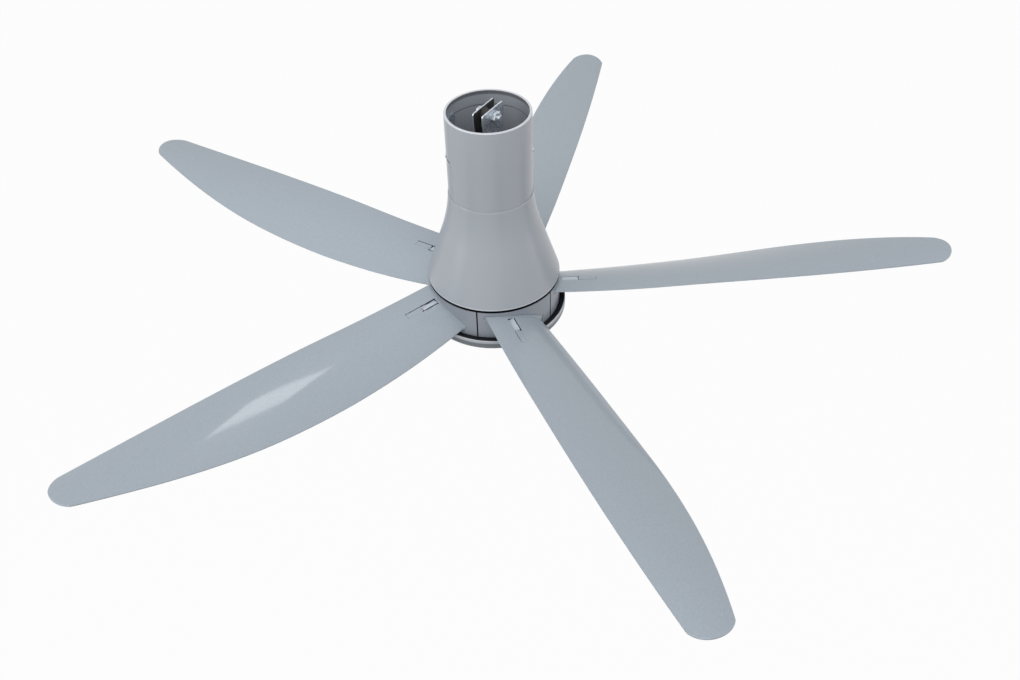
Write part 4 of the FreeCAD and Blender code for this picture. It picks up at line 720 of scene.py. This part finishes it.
def add_rod(bm, radius, start, end, segments=32):
    """Round rod between two points."""
    along = Vector(end) - Vector(start)
    middle = (Vector(end) + Vector(start)) / 2
    place = Matrix.Translation(middle * MM) @ along.to_track_quat("Z", "Y").to_matrix().to_4x4()
    bmesh.ops.create_cone(bm, cap_ends=True, segments=segments, radius1=radius * MM, radius2=radius * MM,
                          depth=along.length * MM, matrix=place)


# %% Screw posts of the dish
POST_CIRCLE = 50.0
POST_RADIUS = 6.5
POST_TOP = -346.5
POST_FOOT = -361.0
SCREW_SEAT = -351.5
HEAD_ROOM = 3.8
SHANK_ROOM = 2.2
DRILL_PAST = 5.0
DRILL_OVERLAP = 1.0

posts = bmesh.new()
rooms = bmesh.new()
for turn in (0, 120, 240):
    x, y = round_centre((0.0, 0.0), POST_CIRCLE, turn)
    add_rod(posts, POST_RADIUS, (x, y, POST_FOOT), (x, y, POST_TOP))
    add_rod(rooms, HEAD_ROOM, (x, y, DISH_LOW - DRILL_PAST), (x, y, SCREW_SEAT))
    add_rod(rooms, SHANK_ROOM, (x, y, SCREW_SEAT - DRILL_OVERLAP), (x, y, POST_TOP + DRILL_PAST))
dish = carve(carve(dish, posts, "UNION"), rooms, "DIFFERENCE")
# Faces under the band take the darker grey as painted shade, the top edge the lighter grey as a painted
# highlight.
for face in dish.faces:
    height = face.calc_center_median().z / MM
    face.material_index = 1 if height < DISH_BAND else 2 if height > DISH_TOP - DISH_HIGHLIGHT else 0
new_piece("bottom_dish", dish, "frame", "silver_trim", "bottom_cover",
          more=("underside_shade_plastic", "painted_highlight_plastic"))

# %% [markdown]
# ## The blade's form
# A blade is drawn by a few curves along its radius. In the plan each edge bows out to its widest place
# and falls off both ways. The chord between the edges is tilted by the pitch, which dies away towards the
# tip, and the blade rises a little as it goes out. The hub covers need this form first, for the blade's
# window.

# %% Plan of the blade
BLADE_COUNT = 5
BLADE_STEP = 360.0 / BLADE_COUNT
FIRST_BLADE = 36.0
SWEEP = 750.0
ROOT = 80.0
PLAN_ROOT = 100.0
ROOT_PITCH, TWIST, TWIST_START = 19.5, 22.5, 310.0
CURVE = 1.5
LEAD_BOW = dict(wide=53.5, root_drop=2.5, tip_drop=11.5, wide_radius=330.0, end_radius=SWEEP - 31.0)
TRAIL_BOW = dict(wide=65.0, root_drop=24.0, tip_drop=33.0, wide_radius=438.0, end_radius=SWEEP - 59.0)


def bowed(x, wide, root_drop, tip_drop, wide_radius, end_radius):
    """Width that is greatest at one radius and falls off as a parabola both ways."""
    if x < wide_radius:
        return wide - root_drop * ((wide_radius - x) / (wide_radius - PLAN_ROOT)) ** 2
    return wide - tip_drop * ((x - wide_radius) / (end_radius - wide_radius)) ** 2


def outward(x, start):
    """How far a radius lies from a start towards the tip, from 0 to 1."""
    return max(0.0, (x - start) / (SWEEP - start))


def pitch(x):
    return math.radians(ROOT_PITCH - TWIST * outward(x, TWIST_START) ** CURVE)


def lead_edge(x):
    return -bowed(x, **LEAD_BOW)


def trail_edge(x):
    return bowed(x, **TRAIL_BOW)


def chord_ends(x):
    """Leading and trailing edge, measured along the tilted chord."""
    return lead_edge(x) / math.cos(pitch(x)), trail_edge(x) / math.cos(pitch(x))


def row_place(x, s):
    """Place along the chord, for s from -1 at the leading edge to 1 at the trailing edge."""
    lead, trail = chord_ends(x)
    return (lead + trail) / 2 + s * (trail - lead) / 2


print("pitch at root and tip:", round(math.degrees(pitch(ROOT)), 1), round(math.degrees(pitch(SWEEP)), 1))

# %% Section of the blade
HUB_TOP = -289.0
CHORD_DROP = 29.7
RISE, RISE_START = 30.5, 215.0
ROOT_RISE, ROOT_RISE_LENGTH = 2.2, 115.0
ROOT_CAMBER, CAMBER_LOSS = 8.5, 6.0
ROOT_THICKNESS, THICKNESS_LOSS = 4.6, 1.4
EDGE_THICKNESS = 2.0


def chord_height(x):
    inward = max(0.0, (RISE_START - x) / ROOT_RISE_LENGTH)
    return HUB_TOP - CHORD_DROP + RISE * outward(x, RISE_START) ** CURVE + ROOT_RISE * inward ** 2


def camber(x):
    return ROOT_CAMBER - CAMBER_LOSS * outward(x, ROOT) ** CURVE


def across(x, v):
    """The opposite of row_place: from -1 at the leading edge to 1 at the trailing edge."""
    lead, trail = chord_ends(x)
    return (2 * v - lead - trail) / (trail - lead)


def half_thickness(x, v):
    edge = EDGE_THICKNESS / 2
    middle = (ROOT_THICKNESS - THICKNESS_LOSS * outward(x, ROOT)) / 2
    return edge + (middle - edge) * max(0.0, 1 - across(x, v) ** 2)


def formed(x, v, w):
    """Where a point of the flat blade goes when the blade is cambered, twisted and tilted."""
    rise = w + camber(x) * (1 - across(x, v) ** 2)
    tilt = pitch(x)
    return Vector((x, v * math.cos(tilt) + rise * math.sin(tilt),
                   chord_height(x) - v * math.sin(tilt) + rise * math.cos(tilt))) * MM


# %% [markdown]
# ## Hub covers
# The hub's skirt is five equal covers with upright seams midway between the blades. Each is a C-shaped
# section, a wall with an upper and a lower flange, carried round a fifth of a turn. This time the outline
# is filled with a face before the spin, so both ends come out closed. A slot in the shape of the blade's
# own section, grown all round, lets the blade through. One cover is made, and its copies are turned to
# their places.

# %% Hub sizes
HUB_BORE = 103.964
HUB_RADIUS = 106.464
HUB_LOW = -340.2
HUB_SEAM = 2.2
HUB_EDGE = 1.2
SKIRT_TOP = -290.2
UPPER_IN, UPPER_HIGH, UPPER_LOW = 82.464, -292.0, -294.5
LOWER_IN, LOWER_HIGH, LOWER_LOW = 71.0, -334.0, -336.5
COVER_OUTLINE = (
    (HUB_RADIUS, HUB_LOW), (HUB_RADIUS, SKIRT_TOP), (HUB_RADIUS - HUB_EDGE, SKIRT_TOP),
    (HUB_BORE, SKIRT_TOP - HUB_EDGE), (HUB_BORE, UPPER_HIGH), (UPPER_IN, UPPER_HIGH),
    (UPPER_IN, UPPER_LOW), (HUB_BORE, UPPER_LOW), (HUB_BORE, LOWER_HIGH),
    (LOWER_IN, LOWER_HIGH), (LOWER_IN, LOWER_LOW), (HUB_BORE, LOWER_LOW),
    (HUB_BORE, HUB_LOW))
WINDOW_GROW = 1.8
WINDOW_RISE = 7.0
WINDOW_ROWS = 24
LAST_ROW = 0.999
BAR_REACH = 40.0


# %% Window for the blade
def window_bar(grow):
    """Bar with the blade's section at the hub, grown all round and raised towards the trailing end."""
    bar = bmesh.new()
    bmesh.ops.create_grid(bar, x_segments=1, y_segments=WINDOW_ROWS, size=1.0)
    bmesh.ops.extrude_face_region(bar, geom=bar.faces[:])
    count = len(bar.verts) // 2
    for number, vert in enumerate(bar.verts):
        s = vert.co.y
        v = row_place(HUB_BORE, s)
        w = half_thickness(HUB_BORE, v) + grow
        w = w + WINDOW_RISE * (1 + s) / 2 if number >= count else -w
        beyond = math.copysign(grow, s) if abs(s) > LAST_ROW else 0.0
        end = formed(HUB_BORE, v + beyond, 0.0) - formed(HUB_BORE, v, 0.0)
        vert.co = formed(HUB_BORE, v, w) + Vector((end.x + vert.co.x * BAR_REACH * MM, end.y, end.z))
    return bar


# %% Hub covers
COVER_STEPS = 36

half_turn = BLADE_STEP / 2 - math.degrees(HUB_SEAM / 2 / HUB_RADIUS)
cover = bmesh.new()
section = cover.faces.new([start_at(cover, radius, z) for radius, z in COVER_OUTLINE])
bmesh.ops.spin(cover, geom=[section, *section.edges, *section.verts], cent=(0, 0, 0), axis=(0, 0, 1),
               angle=math.radians(2 * half_turn), steps=COVER_STEPS)
turn_about_z(cover, -half_turn)
cover = carve(cover, window_bar(WINDOW_GROW), "DIFFERENCE")
# Faces inside the outer wall, among them the top edge's inner slope seen in the gap under the bell, wear
# the black finish as painted shade.
for face in cover.faces:
    middle = face.calc_center_median()
    face.material_index = int(middle.xy.length < (HUB_RADIUS - HUB_EDGE - NEAR) * MM)
for k in range(BLADE_COUNT):
    bm = cover.copy()
    turn_about_z(bm, FIRST_BLADE + BLADE_STEP * k)
    new_piece(f"hub_skirt_{k + 1}", bm, "rotor", "hub_plastic", f"hub_cover_{k + 1}",
              more=("black_plastic",), edge=0.35)
cover.free()

# %% [markdown]
# ## Blades
# A blade is easiest to make flat, the way sheet would be cut: lay out a grid in its plan, cut the latch
# slot, give it thickness, round its edges, and only then bend it. The function formed puts every flat
# point in its place on the cambered, twisted blade. The grid's rows end on the round tip, which is two
# arcs in the plan.


# %% Round tip
def circle_through(a, b, c):
    """Centre and radius of the circle through three points of the plan."""
    start, middle, end = complex(*a), complex(*b), complex(*c)
    ratio = (end - start) / (middle - start)
    centre = start + (middle - start) * (ratio - abs(ratio) ** 2) / (2j * ratio.imag)
    return centre.real, centre.imag, abs(centre - start)


NOSE = (SWEEP, -9.0)
TRAIL_START, LEAD_START = 722.0, 712.0
TRAIL_MIDDLE, LEAD_MIDDLE = (744.5, 10.0), (743.5, -29.5)
ARC_BEYOND = 1.1
TRAIL_ARC = circle_through((TRAIL_START, trail_edge(TRAIL_START) + ARC_BEYOND), TRAIL_MIDDLE, NOSE)
LEAD_ARC = circle_through(NOSE, LEAD_MIDDLE, (LEAD_START, lead_edge(LEAD_START) - ARC_BEYOND))
FIRST_GUESS = SWEEP - 20.0
GUESSES = 40


def tip_reach(y):
    """Radius at which the tip ends, at a distance across the plan."""
    x, middle, radius = TRAIL_ARC if y > NOSE[1] else LEAD_ARC
    return x + math.sqrt(max(0.0, radius ** 2 - (y - middle) ** 2))


def row_end(s):
    """Radius at which a row of the grid meets the tip, found by repeated guesses."""
    x = FIRST_GUESS
    for _ in range(GUESSES):
        x = tip_reach(row_place(x, s) * math.cos(pitch(x)))
    return x


# %% [markdown]
# Each blade has a latch: a narrow lever in a slot near the hub, with a tilted thumb pad. Its slot is a
# little wider beside the pad and past its end, and its upright walls wear the black finish as painted
# shade. The grid gets columns and rows on the slot's sides, so the cut is clean.

# %% Blade layout
LATCH_INNER = 108.464
LATCH_OUTER = 165.464
LATCH_MIDDLE = -18.5
LATCH_HALF = 4.3
LATCH_GAP = 0.5
LEAD_GAP = 1.2
ARM_GAP = 0.15
END_GAP = 0.3
PAD_GAP = 2.2
PAD_END = 135.464
SLOT_LEAD = LATCH_MIDDLE - LATCH_HALF - LEAD_GAP
SLOT_TRAIL = LATCH_MIDDLE + LATCH_HALF + ARM_GAP
PAD_TRAIL = LATCH_MIDDLE + LATCH_HALF + PAD_GAP
SLOT_START = LATCH_INNER - LATCH_GAP
SLOT_STEP = PAD_END + PAD_GAP
SLOT_END = LATCH_OUTER + END_GAP
ROWS = 40
LEAD_ROW, TRAIL_ROW = 15, 18
STATIONS = [ROOT, 94.0, SLOT_START, 117.0, 127.0, SLOT_STEP, SLOT_STEP + 1.2, 147.0, 156.5, SLOT_END, 180.0]
STATIONS += [200.0 + 20.0 * k for k in range(22)] + [640.0]
TIP_SHARES = (0.2, 0.4, 0.58, 0.72, 0.83, 0.91, 0.965, 1.0)


# %% Flat blade
def flat_blade():
    """Flat grid of the blade with its latch slot cut out, in millimetres."""
    bm = bmesh.new()
    columns = len(STATIONS) - 1 + len(TIP_SHARES)
    bmesh.ops.create_grid(bm, x_segments=columns, y_segments=ROWS, size=1.0)
    inside = set()
    for vert in bm.verts:
        column = round((vert.co.x + 1) / 2 * columns)
        row = round((vert.co.y + 1) / 2 * ROWS)
        s = math.sin(math.pi / 2 * (2 * row / ROWS - 1))
        x = STATIONS[min(column, len(STATIONS) - 1)]
        if column >= len(STATIONS):
            x += (row_end(s) - x) * TIP_SHARES[column - len(STATIONS)]
        v = row_place(x, s)
        if SLOT_START <= x <= SLOT_END and LEAD_ROW <= row <= TRAIL_ROW:
            inside.add(vert)
            if row == LEAD_ROW:
                v = SLOT_LEAD
            if row == TRAIL_ROW:
                v = PAD_TRAIL if x <= SLOT_STEP else SLOT_TRAIL
        vert.co = (x, v, 0.0)
    slot = [face for face in bm.faces if inside.issuperset(face.verts)]
    bmesh.ops.delete(bm, geom=slot, context="FACES")
    return bm


# %% Helpers for sheet
SIDE_LIMIT = 0.5


def thicken(bm):
    """Give a flat sheet its two skins, each half the thickness from the middle."""
    low = set(bm.verts)
    bmesh.ops.extrude_face_region(bm, geom=bm.faces[:])
    for vert in bm.verts:
        half = half_thickness(vert.co.x, vert.co.y)
        vert.co.z += -half if vert in low else half
    bmesh.ops.recalc_face_normals(bm, faces=bm.faces)


def is_side(face):
    """Whether a face of a flat sheet stands upright."""
    return abs(face.normal.z) < SIDE_LIMIT


def rim_edges(bm):
    """Edges between a skin and a side of the sheet."""
    bm.normal_update()
    return [edge for edge in bm.edges
            if len(edge.link_faces) == 2 and sum(map(is_side, edge.link_faces)) == 1]


def round_edges(bm, edges, radius, segments=2):
    """Round edges of a solid by a radius in the unit of its mesh."""
    bmesh.ops.bevel(bm, geom=edges, offset=radius, offset_type="OFFSET", affect="EDGES", segments=segments,
                    profile=0.5, material=-1)


def bend(bm):
    """Give a flat sheet the form of the blade."""
    for vert in bm.verts:
        vert.co = formed(*vert.co)


# %% [markdown]
# Where the blade passes the hub's wall it has a collar that fills the window there and leaves only a fine
# gap. The collar is the window's own bar, drawn in by that gap and cut to a ring just under the wall's
# outer face. Again one is made, and its copies are turned to their places.

# %% Helpers for the collar
COLLAR_GAP = 0.9
COLLAR_OUT, COLLAR_IN = 106.064, 101.564
COLLAR_STEPS = 180


def turned_ring(outline, steps=48):
    """A bmesh turned about Z from a closed outline."""
    bm = bmesh.new()
    closed_outline(bm, outline)
    spin_round(bm, steps)
    return bm


def join(bm, other):
    """Add the shape in another bmesh to this one."""
    mesh = bpy.data.meshes.new("joining")
    other.to_mesh(mesh)
    other.free()
    bm.from_mesh(mesh)
    bpy.data.meshes.remove(mesh)


# %% Blades
BLADE_EDGE = 0.6


def on_slot(vert):
    """Whether a point of the flat blade lies on the latch slot."""
    return (SLOT_START - NEAR < vert.co.x < SLOT_END + NEAR
            and SLOT_LEAD - NEAR < vert.co.y < PAD_TRAIL + NEAR)


blade = flat_blade()
thicken(blade)
outer_edges = [edge for edge in rim_edges(blade) if not all(map(on_slot, edge.verts))]
round_edges(blade, outer_edges, BLADE_EDGE)
# The slot's upright walls wear the black finish: painted shade inside the slot.
for face in blade.faces:
    face.material_index = int(all(map(on_slot, face.verts)) and is_side(face))
bend(blade)
collar_outline = ((COLLAR_IN, HUB_LOW), (COLLAR_OUT, HUB_LOW), (COLLAR_OUT, HUB_TOP), (COLLAR_IN, HUB_TOP))
ring = turned_ring(collar_outline, COLLAR_STEPS)
join(blade, carve(window_bar(WINDOW_GROW - COLLAR_GAP), ring, "INTERSECT"))
for k in range(BLADE_COUNT):
    bm = blade.copy()
    turn_about_z(bm, FIRST_BLADE + BLADE_STEP * k)
    new_piece(f"blade_skin_{k + 1}", bm, "rotor", "blade_plastic", f"blade_{k + 1}",
              more=("black_plastic",), crisp=50.0)
blade.free()

# %% [markdown]
# The latch is made flat as well: a strip with two columns at the pad's end, thickened like the blade. The
# top of the pad is tilted: sunk along its leading side, raised a little along the other, with a step at its
# end whose faces wear the black finish as painted shade. The pad wears a lighter grey than the blade,
# partly its own tone and partly a painted highlight. Bent by the same function, the rest of the lever lies
# flush in its slot.

# %% Latch sizes
PAD_SINK = 2.4
PAD_RISE = 0.7
PAD_STEP = 1.0
PAD_EDGE = 0.3
LATCH_STATIONS = (LATCH_INNER, 117.5, 126.5, PAD_END, PAD_END + PAD_STEP, 143.0, 150.5, 158.0, LATCH_OUTER)
LATCH_COLUMNS = len(LATCH_STATIONS) - 1
LATCH_ROWS = 4


def pad_height(y):
    """Height of the tilted thumb pad over the lever's skin, at a place across the lever."""
    share = (y - LATCH_MIDDLE + LATCH_HALF) / (2 * LATCH_HALF)
    return (PAD_SINK + PAD_RISE) * share - PAD_SINK


# %% Latches
latch = bmesh.new()
bmesh.ops.create_grid(latch, x_segments=LATCH_COLUMNS, y_segments=LATCH_ROWS, size=1.0)
for vert in latch.verts:
    x = LATCH_STATIONS[round((vert.co.x + 1) / 2 * LATCH_COLUMNS)]
    vert.co = (x, LATCH_MIDDLE + LATCH_HALF * vert.co.y, 0.0)
thicken(latch)
for vert in latch.verts:
    if vert.co.z > 0.0 and vert.co.x < PAD_END + NEAR:
        vert.co.z += pad_height(vert.co.y)
pad_edges = [edge for edge in rim_edges(latch) if all(vert.co.x < PAD_END + NEAR for vert in edge.verts)
             and any(vert.co.x < PAD_END - NEAR for vert in edge.verts)]
round_edges(latch, pad_edges, PAD_EDGE)
# Faces past the pad take the blade's finish; the faces of the pad's end step wear the black finish as
# painted shade.
for face in latch.faces:
    past_pad = face.calc_center_median().x - PAD_END
    face.material_index = (past_pad > NEAR) + (NEAR < past_pad < PAD_STEP)
bend(latch)
for k in range(BLADE_COUNT):
    bm = latch.copy()
    turn_about_z(bm, FIRST_BLADE + BLADE_STEP * k)
    new_piece(f"latch_lever_{k + 1}", bm, f"latch_{k + 1}", "latch_plastic", f"latch_{k + 1}",
              more=("blade_plastic", "black_plastic"), crisp=50.0)
latch.free()

# %% [markdown]
# ## Hanger
# In the mouth of the canopy stands the hanger: a strip of steel bent to a U and trimmed towards its foot,
# with a bolt through it that carries the roller. The U is an outline extruded across, the taper is cut by
# two bisect planes, and the holes are drilled with Boolean. The inner faces of its plates wear the dark
# rubber finish as painted shade between the plates.

# %% Yoke sizes
PLATE_IN, PLATE_OUT = 6.75, 9.25
PLATE_HEAD = 12.5
PLATE_BEND = -2.5
YOKE_FLOOR = -58.0
YOKE_LOW = -60.5
PLATE_HALF, FOOT_HALF = 27.5, 17.0
HEAD_CORNER = 3.0
ON_PLANE = 0.001
FACING_X = 0.9
BOLT_HOLE, BOLT_HOLE_STEPS = 5.2, 40
WIRE_HOLE, WIRE_HOLE_Y, WIRE_HOLE_Z = 4.0, 11.0, -34.0
DRILL_REACH = 20.0
U_OUTLINE = (
    (PLATE_OUT, PLATE_HEAD), (PLATE_OUT, YOKE_LOW), (-PLATE_OUT, YOKE_LOW), (-PLATE_OUT, PLATE_HEAD),
    (-PLATE_IN, PLATE_HEAD), (-PLATE_IN, YOKE_FLOOR), (PLATE_IN, YOKE_FLOOR), (PLATE_IN, PLATE_HEAD))


# %% Hanger yoke
def extrude_by(bm, face, move):
    """Extrude a face by a move in millimetres."""
    made = bmesh.ops.extrude_face_region(bm, geom=[face])["geom"]
    bmesh.ops.translate(bm, vec=Vector(move) * MM,
                        verts=[part for part in made if isinstance(part, bmesh.types.BMVert)])


yoke = bmesh.new()
strip = yoke.faces.new([start_at(yoke, x, z) for x, z in U_OUTLINE])
bmesh.ops.translate(yoke, vec=(0, -PLATE_HALF * MM, 0), verts=yoke.verts)
extrude_by(yoke, strip, (0, 2 * PLATE_HALF, 0))
corners = [edge for edge in yoke.edges if all(vert.co.z > (PLATE_HEAD - NEAR) * MM for vert in edge.verts)
           and abs(edge.verts[0].co.y - edge.verts[1].co.y) < NEAR * MM]
round_edges(yoke, corners, HEAD_CORNER * MM, segments=5)
for side in (-1, 1):
    slope = Vector((0, side * (PLATE_BEND - YOKE_LOW), FOOT_HALF - PLATE_HALF)).normalized()
    bmesh.ops.bisect_plane(yoke, geom=yoke.verts[:] + yoke.edges[:] + yoke.faces[:], dist=ON_PLANE * MM,
                           plane_co=(0, side * PLATE_HALF * MM, PLATE_BEND * MM), plane_no=slope,
                           clear_outer=True)
    bmesh.ops.holes_fill(yoke, edges=[edge for edge in yoke.edges if edge.is_boundary])
drills = bmesh.new()
add_rod(drills, BOLT_HOLE, (-DRILL_REACH, 0, 0), (DRILL_REACH, 0, 0), BOLT_HOLE_STEPS)
for y in (-WIRE_HOLE_Y, WIRE_HOLE_Y):
    add_rod(drills, WIRE_HOLE, (-DRILL_REACH, y, WIRE_HOLE_Z), (DRILL_REACH, y, WIRE_HOLE_Z))
yoke = carve(yoke, drills, "DIFFERENCE")
yoke.normal_update()
# Inner faces of the plates wear the dark rubber finish: painted shade between the plates.
for face in yoke.faces:
    inwards = face.normal.x * face.calc_center_median().x < 0
    face.material_index = int(abs(face.normal.x) > FACING_X and inwards)
new_piece("hanger_u_strip", yoke, "frame", "plated_steel", "hanger_yoke",
          more=("hanger_rubber",), edge=0.35)

# %% [markdown]
# Bolt, nut and washers are turned about the bolt's own axis, so they are built along Z and laid down
# along X at the end. The thread is a zigzag in the outline, and the edges of the hexagons are rounded at
# both ends.

# %% Helpers for fasteners
HEX_EDGE = 0.8


def hexagon(low, high, corner_radius=9.2):
    """Hexagonal bar along Z with rounded edges at both ends."""
    bm = bmesh.new()
    ring = bmesh.ops.create_circle(bm, cap_ends=True, segments=6, radius=corner_radius * MM)["verts"]
    bmesh.ops.translate(bm, vec=(0, 0, low * MM), verts=ring)
    extrude_by(bm, ring[0].link_faces[0], (0, 0, high - low))
    level = [edge for edge in bm.edges if abs(edge.verts[0].co.z - edge.verts[1].co.z) < NEAR * MM]
    round_edges(bm, level, HEX_EDGE * MM)
    return bm


def lay_down(name, bm, node):
    """Lay a steel fastener along X and make a piece of it."""
    bmesh.ops.transform(bm, matrix=Matrix.Rotation(QUARTER_TURN, 4, "Y"), verts=bm.verts)
    new_piece(name, bm, "frame", "plated_steel", node, crisp=28.0)


# %% Bolt, nut and washers
NUT_FACE, NUT_END, BOLT_END = 10.85, 17.35, 22.35
BOLT_RADIUS, THREAD_ROOT = 5.0, 4.4
THREAD_START, THREAD_PITCH, RIDGES = 0.5, 1.5, 3
RIDGE_START, RIDGE_END = 0.55, 0.75
HEAD_HEIGHT, HEAD_OVERLAP = 6.4, 1.0
NUT_BORE, NUT_BORE_STEPS = 5.05, 48
WASHER_RADIUS, WASHER_FLAT, WASHER_EDGE = 9.8, 9.5, 0.3

shank = [(0.0, -NUT_FACE - HEAD_OVERLAP), (BOLT_RADIUS, -NUT_FACE - HEAD_OVERLAP), (BOLT_RADIUS, NUT_END)]
for ridge in range(RIDGES):
    z = NUT_END + THREAD_START + THREAD_PITCH * ridge
    shank += [(THREAD_ROOT, z), (BOLT_RADIUS, z + RIDGE_START), (BOLT_RADIUS, z + RIDGE_END)]
shank += [(THREAD_ROOT, BOLT_END), (0.0, BOLT_END)]
head = hexagon(-NUT_FACE - HEAD_HEIGHT, -NUT_FACE)
lay_down("hanger_bolt_steel", carve(turned_ring(shank), head, "UNION"), "hanger_bolt")

bore = bmesh.new()
add_rod(bore, NUT_BORE, (0, 0, NUT_FACE - DRILL_PAST), (0, 0, NUT_END + DRILL_PAST), NUT_BORE_STEPS)
lay_down("hanger_nut_steel", carve(hexagon(NUT_FACE, NUT_END), bore, "DIFFERENCE"), "hanger_nut")

washers = bmesh.new()
for low, high in ((PLATE_OUT, NUT_FACE), (-NUT_FACE, -PLATE_OUT)):
    join(washers, turned_ring((
        (BOLT_HOLE, low), (WASHER_FLAT, low), (WASHER_RADIUS, low + WASHER_EDGE),
        (WASHER_RADIUS, high - WASHER_EDGE), (WASHER_FLAT, high), (BOLT_HOLE, high))))
lay_down("hanger_washer_pair", washers, "hanger_washers")
